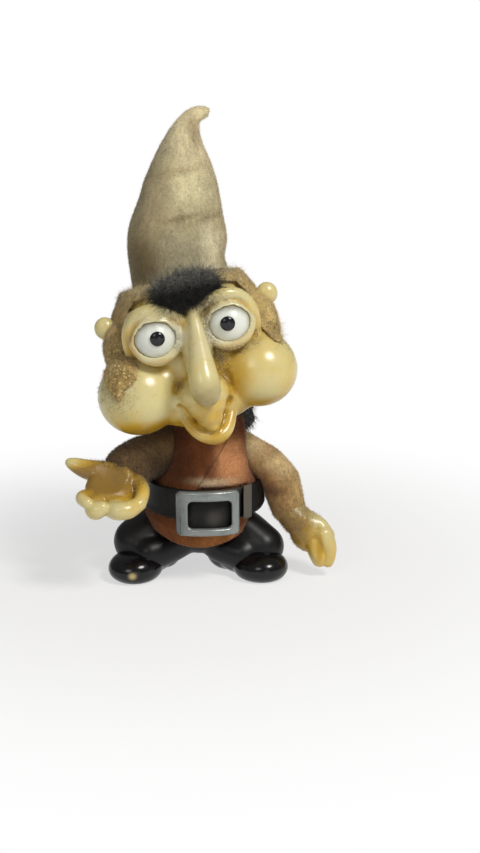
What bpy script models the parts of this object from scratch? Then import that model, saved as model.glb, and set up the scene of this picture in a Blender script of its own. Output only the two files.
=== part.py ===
"""A flocked gnome figurine whose big glossy head nods on a coil spring hidden in its neck.

Every size is in millimetres and is turned into Blender's metres where a shape is made. +Z is up and the
gnome looks along -Y, so its right hand is on the -X side. Body sizes are measured from the spine, an
upright line through the neck. Head sizes are in the head's own upright frame, whose origin is the middle
of the neck spring; one empty then leans and turns the whole head.
"""

import math

import bmesh
import bpy
from mathutils import Euler, Matrix, Vector

MM = 0.001
GAP = 0.3

# Where the spine stands, so that the origin is under the middle of the figurine's bounding box.
SPINE_X = -0.4
SPINE_Y = 4.4
NECK_X = 0.9
NECK_HEIGHT = 33.0
HEAD_LEAN = 11.5
HEAD_TURN = 5.5

# Head, in its own frame.
SKULL_CENTRE = (0.0, 0.0, 15.5)
SKULL_RADII = (13.5, 13.0, 13.9)
RIGHT_CHEEK = ((-12.4, -10.4, 7.3), (8.0, 7.3, 7.6))
LEFT_CHEEK = ((11.2, -10.4, 7.3), (7.4, 7.1, 7.2))
EYE_CENTRE = (7.0, -13.3, 18.2)
EYE_RADIUS = 4.4
LID_HALF_WIDE = 4.3
LID_HALF_TALL = 3.95
LID_RADIUS = 1.05
PUPIL_CENTRE = (6.65, 18.65)
PUPIL_RADIUS = 1.4
PUPIL_DOME = 0.6
EAR_CENTRE = (16.1, -2.0, 19.9)
EAR_RADII = (2.2, 1.7, 2.3)
SKULL_HOLLOW = ((0.0, 0.6, 16.0), (11.2, 10.4, 11.6))
NECK_BORE = 3.6
HAIR_SHELL = 2.2
FLAP_SHELL = 1.0
FOREHEAD = ((0.0, -8.0, 21.0), (9.2, 6.0, 6.6))

# Outline of the opening in the hair for the face, seen from the front, as (x, z).
FACE_OPENING = (
    (-24.0, -12.0),
    (-24.0, 18.0),
    (-19.6, 15.4),
    (-18.6, 13.2),
    (-17.9, 10.6),
    (-17.2, 8.4),
    (-16.5, 8.0),
    (-15.3, 10.1),
    (-13.4, 10.9),
    (-12.2, 12.0),
    (-11.8, 13.2),
    (-12.2, 15.4),
    (-13.1, 18.0),
    (-12.5, 20.6),
    (-11.3, 23.4),
    (-9.9, 24.9),
    (-7.4, 25.7),
    (0.0, 25.2),
    (7.6, 25.7),
    (10.9, 24.6),
    (12.4, 22.4),
    (12.9, 20.2),
    (13.1, 17.8),
    (13.2, 15.4),
    (13.4, 13.4),
    (13.8, 11.4),
    (14.6, 10.2),
    (15.6, 10.3),
    (16.2, 11.6),
    (16.7, 13.8),
    (18.2, 17.0),
    (24.0, 20.0),
    (24.0, -12.0),
)
# Lower edge of the hair, seen from the side, as (y, z).
HAIR_EDGE = ((-30.0, 7.6), (-12.0, 7.8), (-6.0, 9.4), (-1.0, 8.8), (3.0, 6.4), (7.0, 3.4), (26.0, 2.4))

# Neck spring and the two plugs that hold its ends.
SPRING_RADIUS = 2.9
SPRING_WIRE = 0.6
SPRING_TURNS = 5
SPRING_HALF = 3.0
PLUG_BOSS = 2.2
PLUG_BOSS_LONG = 2.2
HEAD_PLUG_PROFILE = ((3.3, 3.6), (3.3, 6.5), (4.4, 6.5), (4.4, 7.5))
BODY_PLUG_PROFILE = ((4.2, -3.6), (4.2, -6.2))

# Hat: places along its middle line and its radius there, in the head's frame.
HAT_LINE = (
    ((0.4, 0.5, 23.0), 10.1),
    ((0.2, 0.6, 27.0), 9.4),
    ((0.3, 0.9, 30.0), 9.3),
    ((1.1, 1.1, 33.2), 9.9),
    ((2.6, 1.4, 38.4), 8.9),
    ((4.4, 1.6, 44.0), 7.3),
    ((5.5, 1.4, 48.6), 5.5),
    ((6.4, 1.0, 51.8), 3.8),
    ((7.9, 0.6, 54.7), 2.4),
    ((9.6, 0.3, 56.3), 1.6),
    ((11.6, 0.1, 56.2), 1.35),
    ((12.3, 0.0, 55.9), 0.9),
)
# Dents in the hat: middle, radius and depth, with bulges below zero.
HAT_DENTS = (
    ((2.0, -8.4, 32.5), 5.5, 0.7),
    ((-7.5, -5.5, 34.0), 6.0, -0.4),
    ((2.6, -7.6, 38.6), 3.8, 0.5),
    ((8.0, -5.6, 37.2), 3.8, 0.5),
    ((5.0, -6.2, 43.0), 5.5, -0.45),
    ((5.5, -5.2, 47.0), 3.4, 0.4),
    ((9.6, -2.4, 33.0), 4.5, -0.5),
    ((3.0, 10.2, 36.0), 6.0, 0.7),
    ((-5.5, 8.6, 31.0), 6.0, -0.4),
    ((7.5, 8.2, 41.0), 5.0, -0.4),
    ((0.5, 7.6, 44.5), 5.0, 0.5),
    ((-4.0, 1.0, 42.0), 5.0, 0.4),
)
HAT_WALL = 1.1
HAT_HOLLOW_POINTS = 8
HAT_RIM = 26.0
HAT_RIM_SLOPE = 13.5

# Tunic: height, middle left to right, middle front to back, half width and half depth of each section.
TUNIC_SECTIONS = (
    (7.4, -0.8, -2.7, 10.4, 9.6),
    (10.5, -0.6, -2.9, 10.8, 9.6),
    (14.5, 0.5, -2.8, 10.9, 9.2),
    (18.9, 0.5, -2.2, 10.3, 8.7),
    (23.0, 0.4, -1.2, 9.3, 7.8),
    (27.5, 0.5, -0.3, 7.9, 6.5),
    (30.3, 0.8, 0.0, 6.1, 5.4),
    (32.0, 0.9, 0.0, 5.1, 4.9),
)
TUNIC_WALL = 1.2
HEM_RISE = 3.2
HEM_FADES = 14.5
BELT_LOW = 13.0
BELT_HIGH = 18.9
BELT_THICK = 0.9
BUCKLE_WIDE = 12.3
BUCKLE_TALL = 8.7
BUCKLE_THICK = 1.5
BUCKLE_WINDOW_WIDE = 8.5
BUCKLE_WINDOW_TALL = 5.3
BUCKLE_WINDOW_SHIFT = (0.35, -0.25)
BUCKLE_CENTRE = (1.4, -14.3, 15.2)
BUCKLE_BEND = 11.8
BUCKLE_SLOPE = -6.0
BUCKLE_TURN = 4.5
PAD_LOW = 11.4
PAD_THICK = 0.5
PAD_ENDS = (-3.6, 7.2)
FLAP_THICK = 0.8
ROUND_FLAP = ((-2.1, 17.0), (9.9, 17.0), (9.3, 24.0), (8.7, 31.8), (6.5, 31.8), (4.1, 27.0))
FLAP_OUTLINE = ((-1.5, 18.0), (9.4, 18.0), (8.8, 24.0), (8.2, 31.2), (7.0, 31.2), (4.7, 27.0))

# Shoes: heel and toe on the floor, from the spine.
SHOE_RIGHT_HEEL = (-8.0, -0.6)
SHOE_RIGHT_TOE = (-13.7, -9.8)
SHOE_LEFT_HEEL = (4.8, -1.4)
SHOE_LEFT_TOE = (12.3, -9.0)

MATERIALS = {
    "face_vinyl": ((0.78, 0.69, 0.33), 0.28, 0.0),
    "eye_white": ((0.72, 0.72, 0.62), 0.35, 0.0),
    "pupil_black": ((0.01, 0.01, 0.015), 0.15, 0.0),
    "hat_flock": ((0.46, 0.39, 0.24), 0.95, 0.0),
    "hair_flock": ((0.42, 0.30, 0.12), 0.95, 0.0),
    "dark_fur": ((0.03, 0.03, 0.03), 0.8, 0.0),
    "tunic_flock": ((0.36, 0.14, 0.05), 0.95, 0.0),
    "sleeve_flock": ((0.36, 0.24, 0.10), 0.95, 0.0),
    "belt_black": ((0.012, 0.012, 0.013), 0.6, 0.0),
    "buckle_grey": ((0.25, 0.29, 0.30), 0.35, 0.3),
    "trouser_flock": ((0.02, 0.02, 0.022), 0.9, 0.0),
    "shoe_gloss": ((0.01, 0.01, 0.013), 0.15, 0.0),
    "plug_wood": ((0.45, 0.30, 0.16), 0.7, 0.0),
    "spring_steel": ((0.55, 0.55, 0.56), 0.3, 1.0),
}


def mm(point):
    """A point given in millimetres, in Blender's metres."""
    return Vector(point) * MM


def clear_scene():
    """Removes whatever the file opened with."""
    for thing in list(bpy.data.objects):
        bpy.data.objects.remove(thing, do_unlink=True)


def make_collection(name):
    """A collection linked under the scene's own."""
    made = bpy.data.collections.new(name)
    bpy.context.scene.collection.children.link(made)
    return made


def make_material(name):
    """A Principled material with the colour, roughness and metallic value of the real surface."""
    colour, roughness, metallic = MATERIALS[name]
    material = bpy.data.materials.new(name)
    material.use_nodes = True
    shader = material.node_tree.nodes["Principled BSDF"]
    shader.inputs["Base Color"].default_value = (*colour, 1.0)
    shader.inputs["Roughness"].default_value = roughness
    shader.inputs["Metallic"].default_value = metallic
    return material


class Workshop:
    """The collections, empties and materials that every piece shares."""

    def __init__(self):
        self.parts = make_collection("gnome_figurine")
        self.cutters = make_collection("cutters")
        self.materials = {name: make_material(name) for name in MATERIALS}
        self.body = self.add_empty("figure", None)
        self.body.location = mm((SPINE_X, SPINE_Y, 0.0))
        self.head = self.add_empty("head_pivot", self.body)
        self.head.location = mm((NECK_X, 0.0, NECK_HEIGHT))
        self.head.rotation_mode = "ZYX"
        self.head.rotation_euler = (0.0, math.radians(-HEAD_LEAN), math.radians(HEAD_TURN))

    def add_empty(self, name, parent):
        """An empty that carries pieces."""
        empty = bpy.data.objects.new(name, None)
        empty.empty_display_size = 0.01
        empty.parent = parent
        self.parts.objects.link(empty)
        return empty

    def add_part(self, name, mesh, parent, material):
        """A finished piece in the assembly."""
        part = bpy.data.objects.new(name, mesh)
        part.parent = parent
        mesh.materials.clear()
        mesh.materials.append(self.materials[material])
        self.parts.objects.link(part)
        return part

    def add_cutter(self, name, mesh, parent):
        """A helper solid that only cuts."""
        cutter = bpy.data.objects.new(name, mesh)
        cutter.parent = parent
        cutter.hide_render = True
        cutter.display_type = "WIRE"
        self.cutters.objects.link(cutter)
        return cutter


def mesh_of(shape, name):
    """Turns a bmesh into a mesh and frees it."""
    bmesh.ops.recalc_face_normals(shape, faces=shape.faces)
    mesh = bpy.data.meshes.new(name)
    shape.to_mesh(mesh)
    shape.free()
    return mesh


def settle(part):
    """Replaces a piece's modifiers by the mesh that they make."""
    bpy.context.view_layer.update()
    graph = bpy.context.evaluated_depsgraph_get()
    mesh = bpy.data.meshes.new_from_object(part.evaluated_get(graph))
    part.modifiers.clear()
    part.data = mesh
    return mesh


def cut(part, cutter, operation="DIFFERENCE"):
    """Cuts, or with INTERSECT keeps, what the cutter covers."""
    modifier = part.modifiers.new(cutter.name, "BOOLEAN")
    modifier.operation = operation
    modifier.solver = "EXACT"
    modifier.object = cutter
    return part


def shade(part, sharp_degrees=35.0):
    """Shades a round piece smooth, and keeps its sharp edges."""
    part.data.shade_smooth()
    part.data.set_sharp_from_angle(angle=math.radians(sharp_degrees))


def rounded_step(a, b, c, d, t):
    """The value a share t of the way from b to c, on a rounded line that also passes a and d."""
    bend = (a - 2.5 * b + 2 * c - d / 2) * t**2
    return b + (c - a) * t / 2 + bend + (1.5 * (b - c) + (d - a) / 2) * t**3


def smooth_line(points, steps=3):
    """A rounded line through the given points, each a tuple of numbers, with more of them in between."""
    if len(points) < 3:
        return list(points)
    ends = [points[0], *points, points[-1]]
    line = []
    for before, start, end, after in zip(ends, ends[1:], ends[2:], ends[3:]):
        for step in range(steps):
            t = step / steps
            line.append(tuple(rounded_step(*values, t) for values in zip(before, start, end, after)))
    return [*line, points[-1]]


class Clay:
    """Overlapping balls and limbs of modelling clay, to be fused into one skin."""

    def __init__(self):
        self.shape = bmesh.new()

    def ball(self, centre, radii, turn=(0.0, 0.0, 0.0), grow=0.0):
        """An ellipsoid, turned by angles in degrees and grown all round by a clearance."""
        size = [(radius + grow) * MM for radius in radii]
        turned = Euler([math.radians(angle) for angle in turn]).to_matrix().to_4x4()
        place = Matrix.Translation(mm(centre)) @ turned @ Matrix.Diagonal((*size, 1.0))
        lump = bmesh.new()
        bmesh.ops.create_uvsphere(lump, u_segments=24, v_segments=16, radius=1.0, matrix=place)
        return self.add(lump)

    def add(self, lump):
        """Adds one lump to those already there."""
        mesh = mesh_of(lump, "lump")
        self.shape.from_mesh(mesh)
        bpy.data.meshes.remove(mesh)
        return self

    def pair(self, centre, radii, turn=(0.0, 0.0, 0.0), grow=0.0):
        """A ball on the left and its mirror image on the right."""
        x, y, z = centre
        self.ball((x, y, z), radii, turn, grow)
        return self.ball((-x, y, z), radii, (turn[0], -turn[1], -turn[2]), grow)

    def limb(self, points, grow=0.0):
        """Balls joined by cones, along a smooth line through points given as (x, y, z, radius)."""
        points = smooth_line(points)
        for x, y, z, radius in points:
            self.ball((x, y, z), (radius, radius, radius), grow=grow)
        for first, second in zip(points, points[1:]):
            start, end = Vector(first[:3]), Vector(second[:3])
            along = end - start
            turned = along.to_track_quat("Z", "Y").to_matrix().to_4x4()
            lump = bmesh.new()
            bmesh.ops.create_cone(
                lump,
                cap_ends=True,
                segments=20,
                radius1=(first[3] + grow) * MM,
                radius2=(second[3] + grow) * MM,
                depth=along.length * MM,
                matrix=Matrix.Translation((start + end) / 2 * MM) @ turned,
            )
            self.add(lump)
        return self

    def mirrored_limb(self, points, grow=0.0):
        """A limb and its mirror image."""
        self.limb(points, grow)
        return self.limb([(-x, y, z, radius) for x, y, z, radius in points], grow)

    def fused(self, workshop, name, parent, material, voxel=0.6, smoothing=4, triangles=1000):
        """One closed skin over all the lumps, softened where they meet, with about this many triangles."""
        part = workshop.add_part(name, mesh_of(self.shape, name), parent, material)
        remesh = part.modifiers.new("fuse", "REMESH")
        remesh.mode = "VOXEL"
        remesh.voxel_size = voxel * MM
        smooth = part.modifiers.new("soften", "SMOOTH")
        smooth.factor = 0.5
        smooth.iterations = smoothing
        mesh = settle(part)
        mesh.calc_loop_triangles()
        thin = part.modifiers.new("fewer_faces", "DECIMATE")
        thin.ratio = min(1.0, triangles / len(mesh.loop_triangles))
        mesh = settle(part)
        mesh.materials.clear()
        mesh.materials.append(workshop.materials[material])
        return part


def clay_cutter(workshop, name, parent, clay, voxel, triangles):
    """A cutter made of fused clay."""
    cutter = clay.fused(workshop, name, parent, "face_vinyl", voxel=voxel, smoothing=1, triangles=triangles)
    workshop.parts.objects.unlink(cutter)
    workshop.cutters.objects.link(cutter)
    cutter.hide_render = True
    cutter.display_type = "WIRE"
    return cutter


def clearance_of(workshop, part, gap=GAP):
    """A cutter that is the piece grown by the clearance along its normals, and skinned afresh."""
    cutter = workshop.add_cutter(part.name + "_clearance", part.data.copy(), part.parent)
    grow = cutter.modifiers.new("grow", "DISPLACE")
    grow.strength = gap * MM
    grow.mid_level = 0.0
    skin = cutter.modifiers.new("skin", "REMESH")
    skin.mode = "VOXEL"
    skin.voxel_size = 0.5 * MM
    settle(cutter)
    thin = cutter.modifiers.new("thin", "DECIMATE")
    thin.ratio = min(1.0, len(part.data.polygons) / (2 * len(cutter.data.polygons)))
    settle(cutter)
    return cutter


def slab(workshop, name, parent, through, slope, above, size=60.0):
    """A big cutter above or below a plane that leans back by a slope about X."""
    shape = bmesh.new()
    tilt = Matrix.Rotation(math.radians(slope), 4, "X")
    shift = Matrix.Translation((0.0, 0.0, 0.5 if above else -0.5))
    place = Matrix.Translation(mm(through)) @ tilt @ Matrix.Scale(size * MM, 4) @ shift
    bmesh.ops.create_cube(shape, size=1.0, matrix=place)
    return workshop.add_cutter(name, mesh_of(shape, name), parent)


def prism(workshop, name, parent, outline, axis, low, high):
    """A cutter with an outline in the X-Z plane, pulled along Y, or in the Y-Z plane, pulled along X."""
    shape = bmesh.new()
    if axis == "Y":
        points = [(a, low, b) for a, b in outline]
        pull = (0.0, high - low, 0.0)
    else:
        points = [(low, a, b) for a, b in outline]
        pull = (high - low, 0.0, 0.0)
    face = shape.faces.new([shape.verts.new(mm(point)) for point in points])
    pulled = bmesh.ops.extrude_face_region(shape, geom=[face])
    moved = [item for item in pulled["geom"] if isinstance(item, bmesh.types.BMVert)]
    bmesh.ops.translate(shape, verts=moved, vec=mm(pull))
    bmesh.ops.triangulate(shape, faces=shape.faces)
    return workshop.add_cutter(name, mesh_of(shape, name), parent)


def rod(workshop, name, parent, centre, radius, low, high, sides=32):
    """An upright cylinder cutter."""
    shape = bmesh.new()
    place = Matrix.Translation(mm((centre[0], centre[1], (low + high) / 2)))
    bmesh.ops.create_cone(
        shape,
        cap_ends=True,
        segments=sides,
        radius1=radius * MM,
        radius2=radius * MM,
        depth=(high - low) * MM,
        matrix=place,
    )
    return workshop.add_cutter(name, mesh_of(shape, name), parent)


def egg(workshop, name, parent, centre, radii):
    """An ellipsoid cutter."""
    clay = Clay().ball(centre, radii)
    return workshop.add_cutter(name, mesh_of(clay.shape, name), parent)


# Head.


def eyelids():
    """The soft roll round the left eye: upper lid, lower lid and both corners."""
    x, y, z = EYE_CENTRE
    steps = 18
    points = []
    for step in range(steps + 1):
        angle = math.tau * step / steps
        across = LID_HALF_WIDE * math.cos(angle)
        up = LID_HALF_TALL * math.sin(angle)
        forward = 2.6 - 0.55 * math.cos(angle) ** 2 - 0.25 * math.cos(angle)
        points.append((x + across, y - forward, z + up, LID_RADIUS))
    return points


def face_clay():
    """The moulded head: skull, cheeks, long nose, beak-like upper lip, grin, eyelids, brows and ears."""
    clay = Clay()
    clay.ball(SKULL_CENTRE, SKULL_RADII)
    clay.ball((0.0, -6.5, 12.0), (11.0, 8.4, 11.5))
    clay.ball(*FOREHEAD)
    clay.ball(*RIGHT_CHEEK)
    clay.ball(*LEFT_CHEEK)
    clay.pair((7.6, -8.6, 8.0), (6.4, 6.6, 6.8))
    clay.ball((0.0, -10.4, 3.5), (10.2, 5.6, 4.7))
    clay.limb(
        [
            (0.9, -14.0, 22.8, 1.1),
            (0.8, -15.9, 20.8, 1.2),
            (0.7, -17.5, 17.6, 1.55),
            (0.4, -19.4, 14.0, 2.15),
            (0.1, -20.9, 10.8, 2.8),
            (0.0, -21.6, 8.6, 2.95),
            (0.0, -21.3, 7.4, 2.65),
        ]
    )
    clay.ball((0.2, -14.6, 13.0), (3.0, 3.8, 8.2))
    clay.ball((-0.2, -15.0, 6.4), (5.0, 4.6, 3.6))
    clay.ball((-0.3, -15.9, 4.0), (3.7, 3.9, 3.0))
    clay.ball((-0.2, -16.6, 2.0), (2.6, 3.2, 2.4))
    clay.ball((0.0, -17.0, 0.4), (1.5, 2.4, 1.7))
    clay.limb(
        [
            (-5.6, -13.6, 3.8, 0.85),
            (-4.5, -15.0, 1.2, 1.1),
            (-3.0, -16.3, -0.8, 1.3),
            (-1.2, -17.0, -1.9, 1.45),
            (0.5, -17.2, -2.2, 1.5),
            (2.1, -16.6, -1.6, 1.4),
            (3.3, -15.4, -0.2, 1.25),
            (4.2, -14.2, 1.6, 1.1),
            (4.9, -13.2, 3.6, 0.9),
        ]
    )
    clay.ball((-0.1, -13.8, 0.0), (3.6, 3.4, 2.9))
    clay.limb(
        [
            (12.0, -11.2, 14.4, 1.0),
            (12.2, -12.2, 17.6, 1.15),
            (11.6, -13.2, 20.7, 1.25),
            (9.8, -14.2, 23.0, 1.3),
            (7.4, -14.9, 23.8, 1.25),
            (5.0, -15.1, 23.6, 1.15),
            (3.0, -15.2, 22.8, 0.95),
            (1.6, -15.0, 21.6, 0.8),
        ]
    )
    clay.limb(
        [
            (-12.1, -11.0, 15.0, 1.1),
            (-12.2, -12.0, 17.6, 1.3),
            (-11.4, -12.9, 20.4, 1.5),
            (-9.4, -13.8, 22.7, 1.6),
            (-7.0, -14.4, 23.4, 1.55),
            (-4.8, -14.6, 23.0, 1.3),
            (-2.8, -14.8, 22.0, 1.0),
            (-1.4, -14.8, 20.8, 0.8),
        ]
    )
    x, y, z = EYE_CENTRE
    clay.pair((x, y + 1.6, z), (5.2, 4.2, 5.0))
    clay.mirrored_limb(eyelids())
    clay.pair(EAR_CENTRE, EAR_RADII)
    clay.pair((14.2, -1.8, 18.4), (2.8, 1.6, 2.4), (0, 35, 0))
    return clay


def mouth_groove(workshop):
    """The grin: a groove between the beak of the upper lip and the roll of the lower one."""
    line = [
        (-6.0, -14.6, 6.0, 0.3),
        (-5.4, -15.7, 4.8, 0.4),
        (-4.0, -16.7, 3.0, 0.45),
        (-2.9, -17.8, 0.9, 0.5),
        (-1.6, -18.6, -0.5, 0.5),
        (0.1, -18.9, -1.1, 0.5),
        (1.5, -18.5, -0.7, 0.5),
        (2.5, -17.4, 0.7, 0.5),
        (3.4, -16.4, 2.3, 0.45),
        (4.5, -15.2, 4.2, 0.4),
        (5.0, -14.6, 5.4, 0.3),
    ]
    groove = Clay().limb(line)
    return clay_cutter(workshop, "mouth_groove", workshop.head, groove, 0.25, 700)


def build_head(workshop):
    """The head moulding, hollow inside, with eye sockets, a grin and a bore for the neck plug."""
    head = face_clay().fused(
        workshop, "head", workshop.head, "face_vinyl", voxel=0.42, smoothing=2, triangles=3400
    )
    clearance = clearance_of(workshop, head)
    x, y, z = EYE_CENTRE
    socket = EYE_RADIUS + 0.2
    for side, name in ((1, "left"), (-1, "right")):
        place = (side * x, y, z)
        cut(head, egg(workshop, f"{name}_socket", workshop.head, place, (socket, socket, socket)))
    cut(head, egg(workshop, "skull_hollow", workshop.head, *SKULL_HOLLOW))
    cut(head, rod(workshop, "neck_bore", workshop.head, (0.0, 0.0), NECK_BORE, -4.0, SKULL_HOLLOW[0][2]))
    cut(head, mouth_groove(workshop))
    settle(head)
    shade(head, 50.0)
    return head, clearance


def build_eyes(workshop):
    """A white eyeball and a domed black pupil for each socket."""
    x, y, z = EYE_CENTRE
    pupil_x, pupil_z = PUPIL_CENTRE
    front = y - math.sqrt(EYE_RADIUS**2 - (x - pupil_x) ** 2 - (z - pupil_z) ** 2)
    for side, name in ((1, "left"), (-1, "right")):
        ball = round_mesh(f"{name}_eye", (side * x, y, z), EYE_RADIUS, 12)
        eye = workshop.add_part(f"{name}_eye", ball, workshop.head, "eye_white")
        radii = (PUPIL_RADIUS + 0.15, PUPIL_DOME + 0.15, PUPIL_RADIUS + 0.15)
        cut(eye, egg(workshop, f"{name}_pupil_seat", workshop.head, (side * pupil_x, front, pupil_z), radii))
        settle(eye)
        shade(eye)
        dome = round_mesh(f"{name}_pupil", (side * pupil_x, front, pupil_z), PUPIL_RADIUS, 10)
        pupil = workshop.add_part(f"{name}_pupil", dome, workshop.head, "pupil_black")
        for vertex in dome.vertices:
            vertex.co.y = front * MM + (vertex.co.y - front * MM) * PUPIL_DOME / PUPIL_RADIUS
        shade(pupil)


def round_mesh(name, centre, radius, segments):
    """A ball with this many segments round it."""
    shape = bmesh.new()
    place = Matrix.Translation(mm(centre))
    rings = segments * 2 // 3
    bmesh.ops.create_uvsphere(shape, u_segments=segments, v_segments=rings, radius=radius * MM, matrix=place)
    return mesh_of(shape, name)


def hat_tube(name, line, shrink=0.0, lower=0.0):
    """A swept curve with a changing radius along the hat's middle line, made a closed mesh."""
    curve = bpy.data.curves.new(name, "CURVE")
    curve.dimensions = "3D"
    curve.bevel_depth = MM
    curve.bevel_resolution = 5
    curve.resolution_u = 2
    curve.use_fill_caps = True
    spline = curve.splines.new("NURBS")
    spline.points.add(len(line) - 1)
    spline.order_u = 4
    spline.use_endpoint_u = True
    for point, (place, radius) in zip(spline.points, line):
        point.co = (*mm(place), 1.0)
        point.radius = radius - shrink
    spline.points[0].co.z -= lower * MM
    holder = bpy.data.objects.new(name, curve)
    bpy.context.scene.collection.objects.link(holder)
    bpy.context.view_layer.update()
    graph = bpy.context.evaluated_depsgraph_get()
    mesh = bpy.data.meshes.new_from_object(holder.evaluated_get(graph))
    bpy.data.objects.remove(holder)
    shape = bmesh.new()
    shape.from_mesh(mesh)
    bmesh.ops.remove_doubles(shape, verts=shape.verts, dist=1e-6)
    return mesh_of(shape, name)


def dented(mesh):
    """Presses the soft dents and bulges of the hat into a mesh, along its normals."""
    pushes = []
    for vertex in mesh.vertices:
        push = Vector()
        for middle, radius, depth in HAT_DENTS:
            near = (vertex.co - mm(middle)).length / (radius * MM)
            if near < 1.0:
                push -= vertex.normal * depth * MM * (1.0 - near**2) ** 2
        pushes.append(push)
    for vertex, push in zip(mesh.vertices, pushes):
        vertex.co += push
    return mesh


def build_hat(workshop, head_clearance):
    """The tall flocked hat, a thin shell open at its rim, with a bent tip."""
    hat = workshop.add_part("hat", dented(hat_tube("hat", HAT_LINE)), workshop.head, "hat_flock")
    hollow = dented(hat_tube("hat_inside", HAT_LINE[:HAT_HOLLOW_POINTS], HAT_WALL, 3.0))
    inside = workshop.add_cutter("hat_inside", hollow, workshop.head)
    rim = slab(workshop, "hat_rim_trim", workshop.head, (0.0, 0.0, HAT_RIM), -HAT_RIM_SLOPE, above=False)
    cut(hat, inside)
    cut(hat, rim)
    cut(hat, head_clearance)
    settle(hat)
    shade(hat)


def build_hair(workshop, head_clearance):
    """Flocked hair wrapped round the back and sides of the head, with a flap beside each cheek."""
    x, y, z = SKULL_CENTRE
    clay = Clay()
    clay.ball((x, y + 0.6, z - 0.5), SKULL_RADII, grow=HAIR_SHELL)
    clay.ball(*RIGHT_CHEEK, grow=FLAP_SHELL)
    clay.ball(*LEFT_CHEEK, grow=FLAP_SHELL)
    clay.pair((12.8, -4.4, 13.6), (4.6, 5.6, 7.0), grow=0.4)
    clay.ball((0.0, -6.5, 12.0), (11.0, 8.4, 11.5), grow=FLAP_SHELL)
    clay.ball(*FOREHEAD, grow=FLAP_SHELL)
    hair = clay.fused(workshop, "hair", workshop.head, "hair_flock", voxel=0.8, smoothing=2, triangles=700)
    under = (0.0, 0.0, HAT_RIM - GAP)
    cut(hair, slab(workshop, "under_hat", workshop.head, under, -HAT_RIM_SLOPE, above=True))
    cut(hair, prism(workshop, "face_opening", workshop.head, FACE_OPENING, "Y", -40.0, -1.0))
    lower = list(HAIR_EDGE) + [(26.0, -20.0), (-30.0, -20.0)]
    cut(hair, prism(workshop, "hair_edge", workshop.head, lower, "X", -30.0, 30.0))
    cut(hair, head_clearance)
    settle(hair)
    shade(hair)


def hair_cover(workshop):
    """A cutter that takes in the hair's crown, brow band and back, with the clearance round them."""
    x, y, z = SKULL_CENTRE
    clay = Clay()
    clay.ball((x, y + 0.6, z - 0.5), SKULL_RADII, grow=HAIR_SHELL + GAP)
    clay.ball(*FOREHEAD, grow=FLAP_SHELL + GAP)
    return clay_cutter(workshop, "hair_cover", workshop.head, clay, 0.6, 1200)


def build_fur(workshop, head_clearance):
    """The black forelock under the hat's rim and the dark fur that hangs from the nape."""
    hair_clearance = hair_cover(workshop)
    forelock = Clay()
    forelock.ball((0.4, -12.4, 26.6), (6.7, 2.9, 3.0))
    forelock.ball((-2.4, -14.2, 24.8), (3.3, 2.0, 1.8))
    forelock.ball((3.4, -14.0, 24.8), (3.7, 2.0, 2.0))
    forelock.ball((0.6, -14.6, 24.2), (3.0, 1.9, 1.7))
    tuft = forelock.fused(
        workshop, "forelock", workshop.head, "dark_fur", voxel=0.5, smoothing=2, triangles=340
    )
    cut(tuft, head_clearance)
    around = dented(hat_tube("hat_cover", HAT_LINE, -GAP - 0.1))
    cut(tuft, workshop.add_cutter("hat_cover", around, workshop.head))
    cut(tuft, hair_clearance)
    settle(tuft)
    shade(tuft)
    mane = Clay()
    mane.ball((0.0, 12.0, 3.4), (10.5, 2.5, 5.6))
    mane.ball((0.0, 12.2, -3.0), (12.4, 2.4, 6.4))
    mane.ball((0.0, 12.0, -8.0), (11.0, 2.0, 4.4))
    nape_fur = mane.fused(
        workshop, "nape_fur", workshop.head, "dark_fur", voxel=0.7, smoothing=3, triangles=500
    )
    cut(nape_fur, head_clearance)
    cut(nape_fur, hair_clearance)
    settle(nape_fur)
    shade(nape_fur)


# Neck.


def turned_mesh(name, profile, steps=24):
    """A solid turned about the upright axis from (radius, height) points that start and end on it."""
    shape = bmesh.new()
    points = [shape.verts.new(mm((radius, 0.0, height))) for radius, height in profile]
    edges = [shape.edges.new(pair) for pair in zip(points, points[1:])]
    bmesh.ops.spin(
        shape,
        geom=points + edges,
        cent=(0.0, 0.0, 0.0),
        axis=(0.0, 0.0, 1.0),
        angle=math.tau,
        steps=steps,
        use_merge=True,
    )
    bmesh.ops.remove_doubles(shape, verts=shape.verts, dist=1e-6)
    return mesh_of(shape, name)


def plug_mesh(name, body, way):
    """A turned plug: its body, and a boss that the spring's end coils grip."""
    base = body[0][1]
    boss = base - way * PLUG_BOSS_LONG
    profile = [(0.0, boss), (PLUG_BOSS, boss), (PLUG_BOSS, base), *body, (0.0, body[-1][1])]
    return turned_mesh(name, profile)


def spring_points():
    """The wire's middle line: a coil whose axis starts upright and ends along the leaning head."""
    lean = math.radians(HEAD_LEAN)
    middle = Vector((NECK_X, 0.0, NECK_HEIGHT))
    start = middle - Vector((0.0, 0.0, SPRING_HALF))
    end = middle + SPRING_HALF * Vector((-math.sin(lean), 0.0, math.cos(lean)))
    per_turn = 10
    count = SPRING_TURNS * per_turn
    points = []
    for step in range(count + 1):
        share = step / count
        centre = (1 - share) ** 2 * start + 2 * share * (1 - share) * middle + share**2 * end
        along = (2 * (1 - share) * (middle - start) + 2 * share * (end - middle)).normalized()
        across = Vector((0.0, 1.0, 0.0))
        aside = along.cross(across)
        angle = math.tau * step / per_turn
        points.append(centre + SPRING_RADIUS * (math.cos(angle) * across + math.sin(angle) * aside))
    return points


def least_spring_gap(points):
    """The least gap between one turn of the wire and the next, in millimetres."""
    half_turn = 5
    pairs = ((a, b) for i, a in enumerate(points) for b in points[i + half_turn :])
    return min((a - b).length for a, b in pairs) - SPRING_WIRE


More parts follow.
